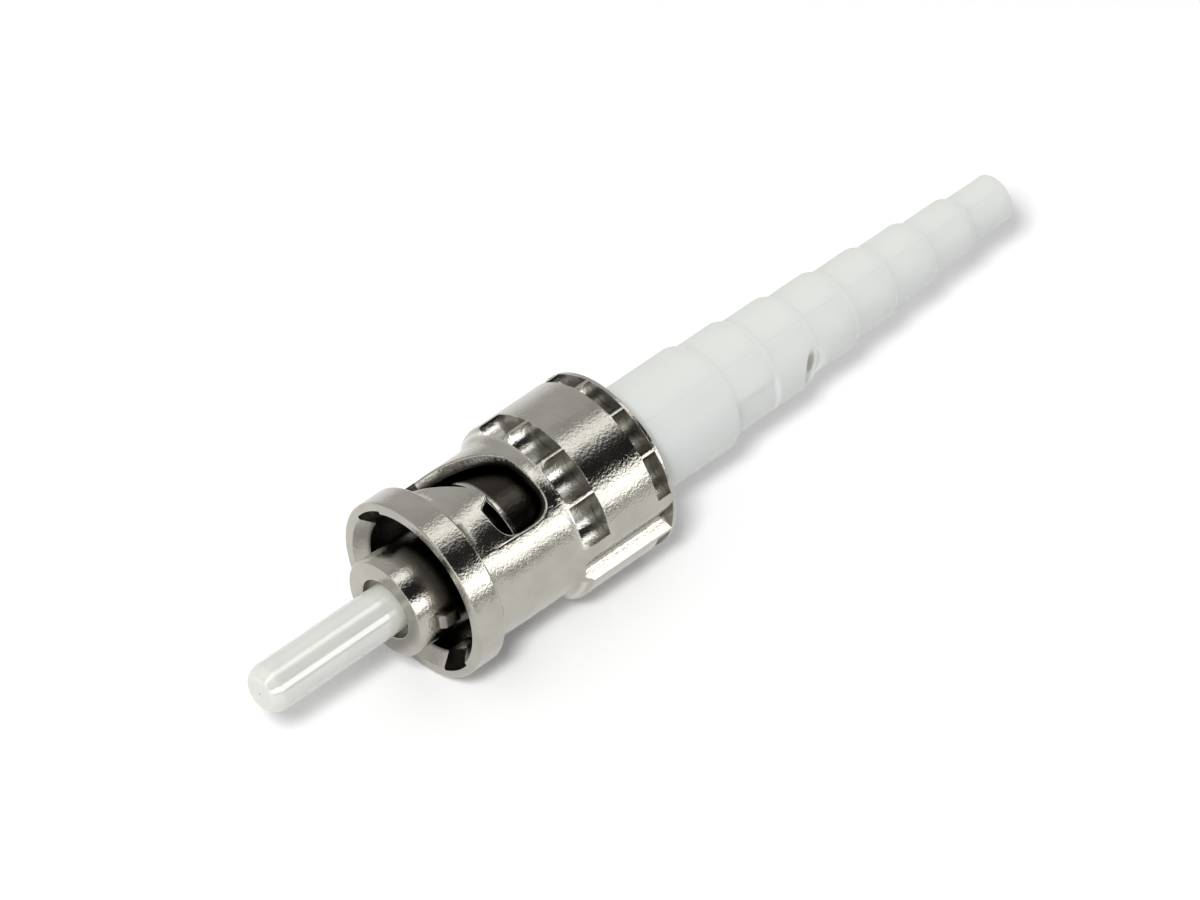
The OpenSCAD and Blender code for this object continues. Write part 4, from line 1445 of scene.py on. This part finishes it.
class PLUG_OT_boot(bpy.types.Operator):
    """Makes the stepped strain relief boot, and finishes the guide tube inside it"""

    bl_idname = "plug.make_boot"
    bl_label = "Boot and guide tube"

    def execute(self, context):
        s = context.scene.plug_boot
        points, faces, outside_count = boot_blank(s)
        piece = make_object("boot_dressed", points, faces, sharp=40)
        flag = piece.data.attributes.new("outside", "BOOLEAN", "POINT")
        flag.data.foreach_set("value", np.arange(len(piece.data.vertices)) < outside_count)
        values = {
            "Front": BOOT_FRONT, "Length": BOOT_BACK - BOOT_FRONT, "Radius": s.diameter / 2,
            "Tail radius": s.tail / 2, "Base length": s.base_length, "Segment": s.segment,
            "Segments": float(s.segments), "Step": s.step, "Tail round": s.tail_round,
            "Front edge": s.front_edge, "Panel angle": s.panel_angle, "Panel width": s.panel_width,
            "Panel rise": s.panel_rise, "Gate angle": s.gate_angle, "Gate from": s.gate_from,
            "Gate length": s.gate_length, "Gate width": s.gate_width, "Gate floor": s.gate_floor,
            "Gate edge": s.gate_edge,
        }
        run_tree(piece, boot_tree(values, material_for("boot_plastic")), values)
        smoothed(piece.data, sharp=45)
        dress(piece, "connector", "boot_plastic", "strain_relief_boot")
        finish_node("guide_tube", "clear_plastic")
        return {"FINISHED"}


# --- studio ---

FLOOR_REACH = 2.5
KEY_DIRECTION = (-0.60, -0.42, 1.0)
KEY_TARGET = (0.008, 0.0, 0.0)
KEY_DISTANCE = 0.60
KEY_SIDE = 0.12
OVERHEAD_SHARE = 0.75
# tilts between which the even light goes from the fill to the front fill
FILL_TILTS = (-10, 60)
SENSOR_WIDTH = 36.0
CLIP_RANGE = (0.01, 20.0)


def ray_masks(tree):
    """One for the camera's rays, one for those of gloss and one for those of glass."""
    path = place_node(tree, "ShaderNodeLightPath")
    return [Field(tree, path.outputs[f"Is {kind} Ray"]) for kind in ("Camera", "Glossy", "Transmission")]


def make_floor(s):
    """A wide pale floor that keeps the plug's shadow, and glows a little where it is seen."""
    r = FLOOR_REACH
    mesh = bpy.data.meshes.new("floor")
    corners = [(-r, -r), (r, -r), (r, r), (-r, r)]
    mesh.from_pydata([(x, y, FLOOR_LEVEL) for x, y in corners], [], [[0, 1, 2, 3]])
    material, tree, shader = new_material("floor_paper")
    for name, value in (("Base Color", opaque(s.floor)), ("Roughness", 1.0), ("Specular IOR Level", 0.0),
                        ("Emission Color", (1.0, 1.0, 1.0, 1.0))):
        shader.inputs[name].default_value = value
    camera, glossy, glass = ray_masks(tree)
    connect(tree, (camera + glossy + glass).clamp() * s.floor_light, shader.inputs["Emission Strength"])
    mesh.materials.append(material)
    in_scene("floor", mesh)


def make_world(s):
    """Even pale light all round; gloss sees long strips of light along the plug, and a dark flag."""
    world = bpy.data.worlds.new("studio")
    world.use_nodes = True
    bpy.context.scene.world = world
    tree = world.node_tree
    background = next(node for node in tree.nodes if node.type == "BACKGROUND")
    _, y, z = axes(tree, place_node(tree, "ShaderNodeTexCoord").outputs["Generated"])
    camera, glossy, _ = ray_masks(tree)
    tilt = turn_of(y, z) * (180.0 / math.pi)

    # strength of each band, and the tilts between which it begins, in degrees from overhead toward -Y
    overhead = s.surround * OVERHEAD_SHARE
    bands = (
        (overhead, -38, -24), (s.top_strip, -17, -9), (overhead, 3, 9), (s.flag, 11, 19),
        (s.strip, 52, 59), (s.horizon, 77, 82),
    )
    level = s.surround
    before = s.surround
    for strength, begin, end in bands:
        level = smooth_step(tilt, begin, end) * (strength - before) + level
        before = strength
    even = smooth_step(tilt, *FILL_TILTS) * (s.front_fill - s.fill) + s.fill
    light = glossy * level + (1.0 - glossy) * even
    connect(tree, light * (1.0 - camera) + camera, background.inputs["Strength"])
    background.inputs["Color"].default_value = (1.0, 1.0, 1.0, 1.0)


def make_key(s):
    """A soft square lamp over the plug's front, which gloss doesn't show."""
    data = bpy.data.lights.new("key", "AREA")
    data.shape = "RECTANGLE"
    data.size = KEY_SIDE
    data.size_y = KEY_SIDE
    data.energy = s.key_power
    lamp = in_scene("key", data)
    away = Vector(KEY_DIRECTION).normalized()
    lamp.location = Vector(KEY_TARGET) + away * KEY_DISTANCE
    lamp.rotation_euler = away.to_track_quat("Z", "Y").to_euler()
    lamp.visible_glossy = False


def make_camera(s):
    """The camera that looks down on the plug from its front."""
    data = bpy.data.cameras.new("camera")
    data.lens = s.lens
    data.sensor_width = SENSOR_WIDTH
    data.clip_start, data.clip_end = CLIP_RANGE
    camera = in_scene("camera", data)
    camera.location = s.place
    camera.rotation_euler = (math.pi / 2 - s.elevation, 0.0, s.azimuth)
    bpy.context.scene.camera = camera


class PLUG_OT_studio(bpy.types.Operator):
    """Sets up the camera, the lamp, the surroundings and the pale floor"""

    bl_idname = "plug.make_studio"
    bl_label = "Studio"

    def execute(self, context):
        s = context.scene.plug_studio
        context.scene.view_settings.view_transform = "Standard"
        make_camera(s)
        make_floor(s)
        make_world(s)
        make_key(s)
        return {"FINISHED"}


# --- panel and add-on ---


PIECE_OPERATORS = (PLUG_OT_ferrule, PLUG_OT_barrel, PLUG_OT_spring, PLUG_OT_nut, PLUG_OT_boot, PLUG_OT_studio)


class PLUG_PT_panel(bpy.types.Panel):
    """Sizes, colours and makers of the plug's pieces"""

    bl_idname = "PLUG_PT_panel"
    bl_label = "Fibre Plug"
    bl_space_type = "VIEW_3D"
    bl_region_type = "UI"
    bl_category = "Fibre Plug"

    def draw(self, context):
        for operator in PIECE_OPERATORS:
            self.layout.operator(operator.bl_idname)
        for group in SIZE_GROUPS:
            box = self.layout.box()
            box.label(text=group.replace("plug_", "").capitalize())
            values = getattr(context.scene, group)
            for name in values.__class__.__annotations__:
                box.prop(values, name)


CLASSES = tuple(SIZE_GROUPS.values()) + PIECE_OPERATORS + (PLUG_PT_panel,)


def register():
    for kind in CLASSES:
        bpy.utils.register_class(kind)
    for name, kind in SIZE_GROUPS.items():
        setattr(bpy.types.Scene, name, PointerProperty(type=kind))


def unregister():
    for name in SIZE_GROUPS:
        delattr(bpy.types.Scene, name)
    for kind in reversed(CLASSES):
        bpy.utils.unregister_class(kind)


def main():
    register()
    bpy.ops.plug.make_studio()
    bpy.ops.plug.make_ferrule()
    bpy.ops.plug.make_barrel()
    bpy.ops.plug.make_spring()
    bpy.ops.plug.make_nut()
    bpy.ops.plug.make_boot()


if __name__ == "__main__":
    main()
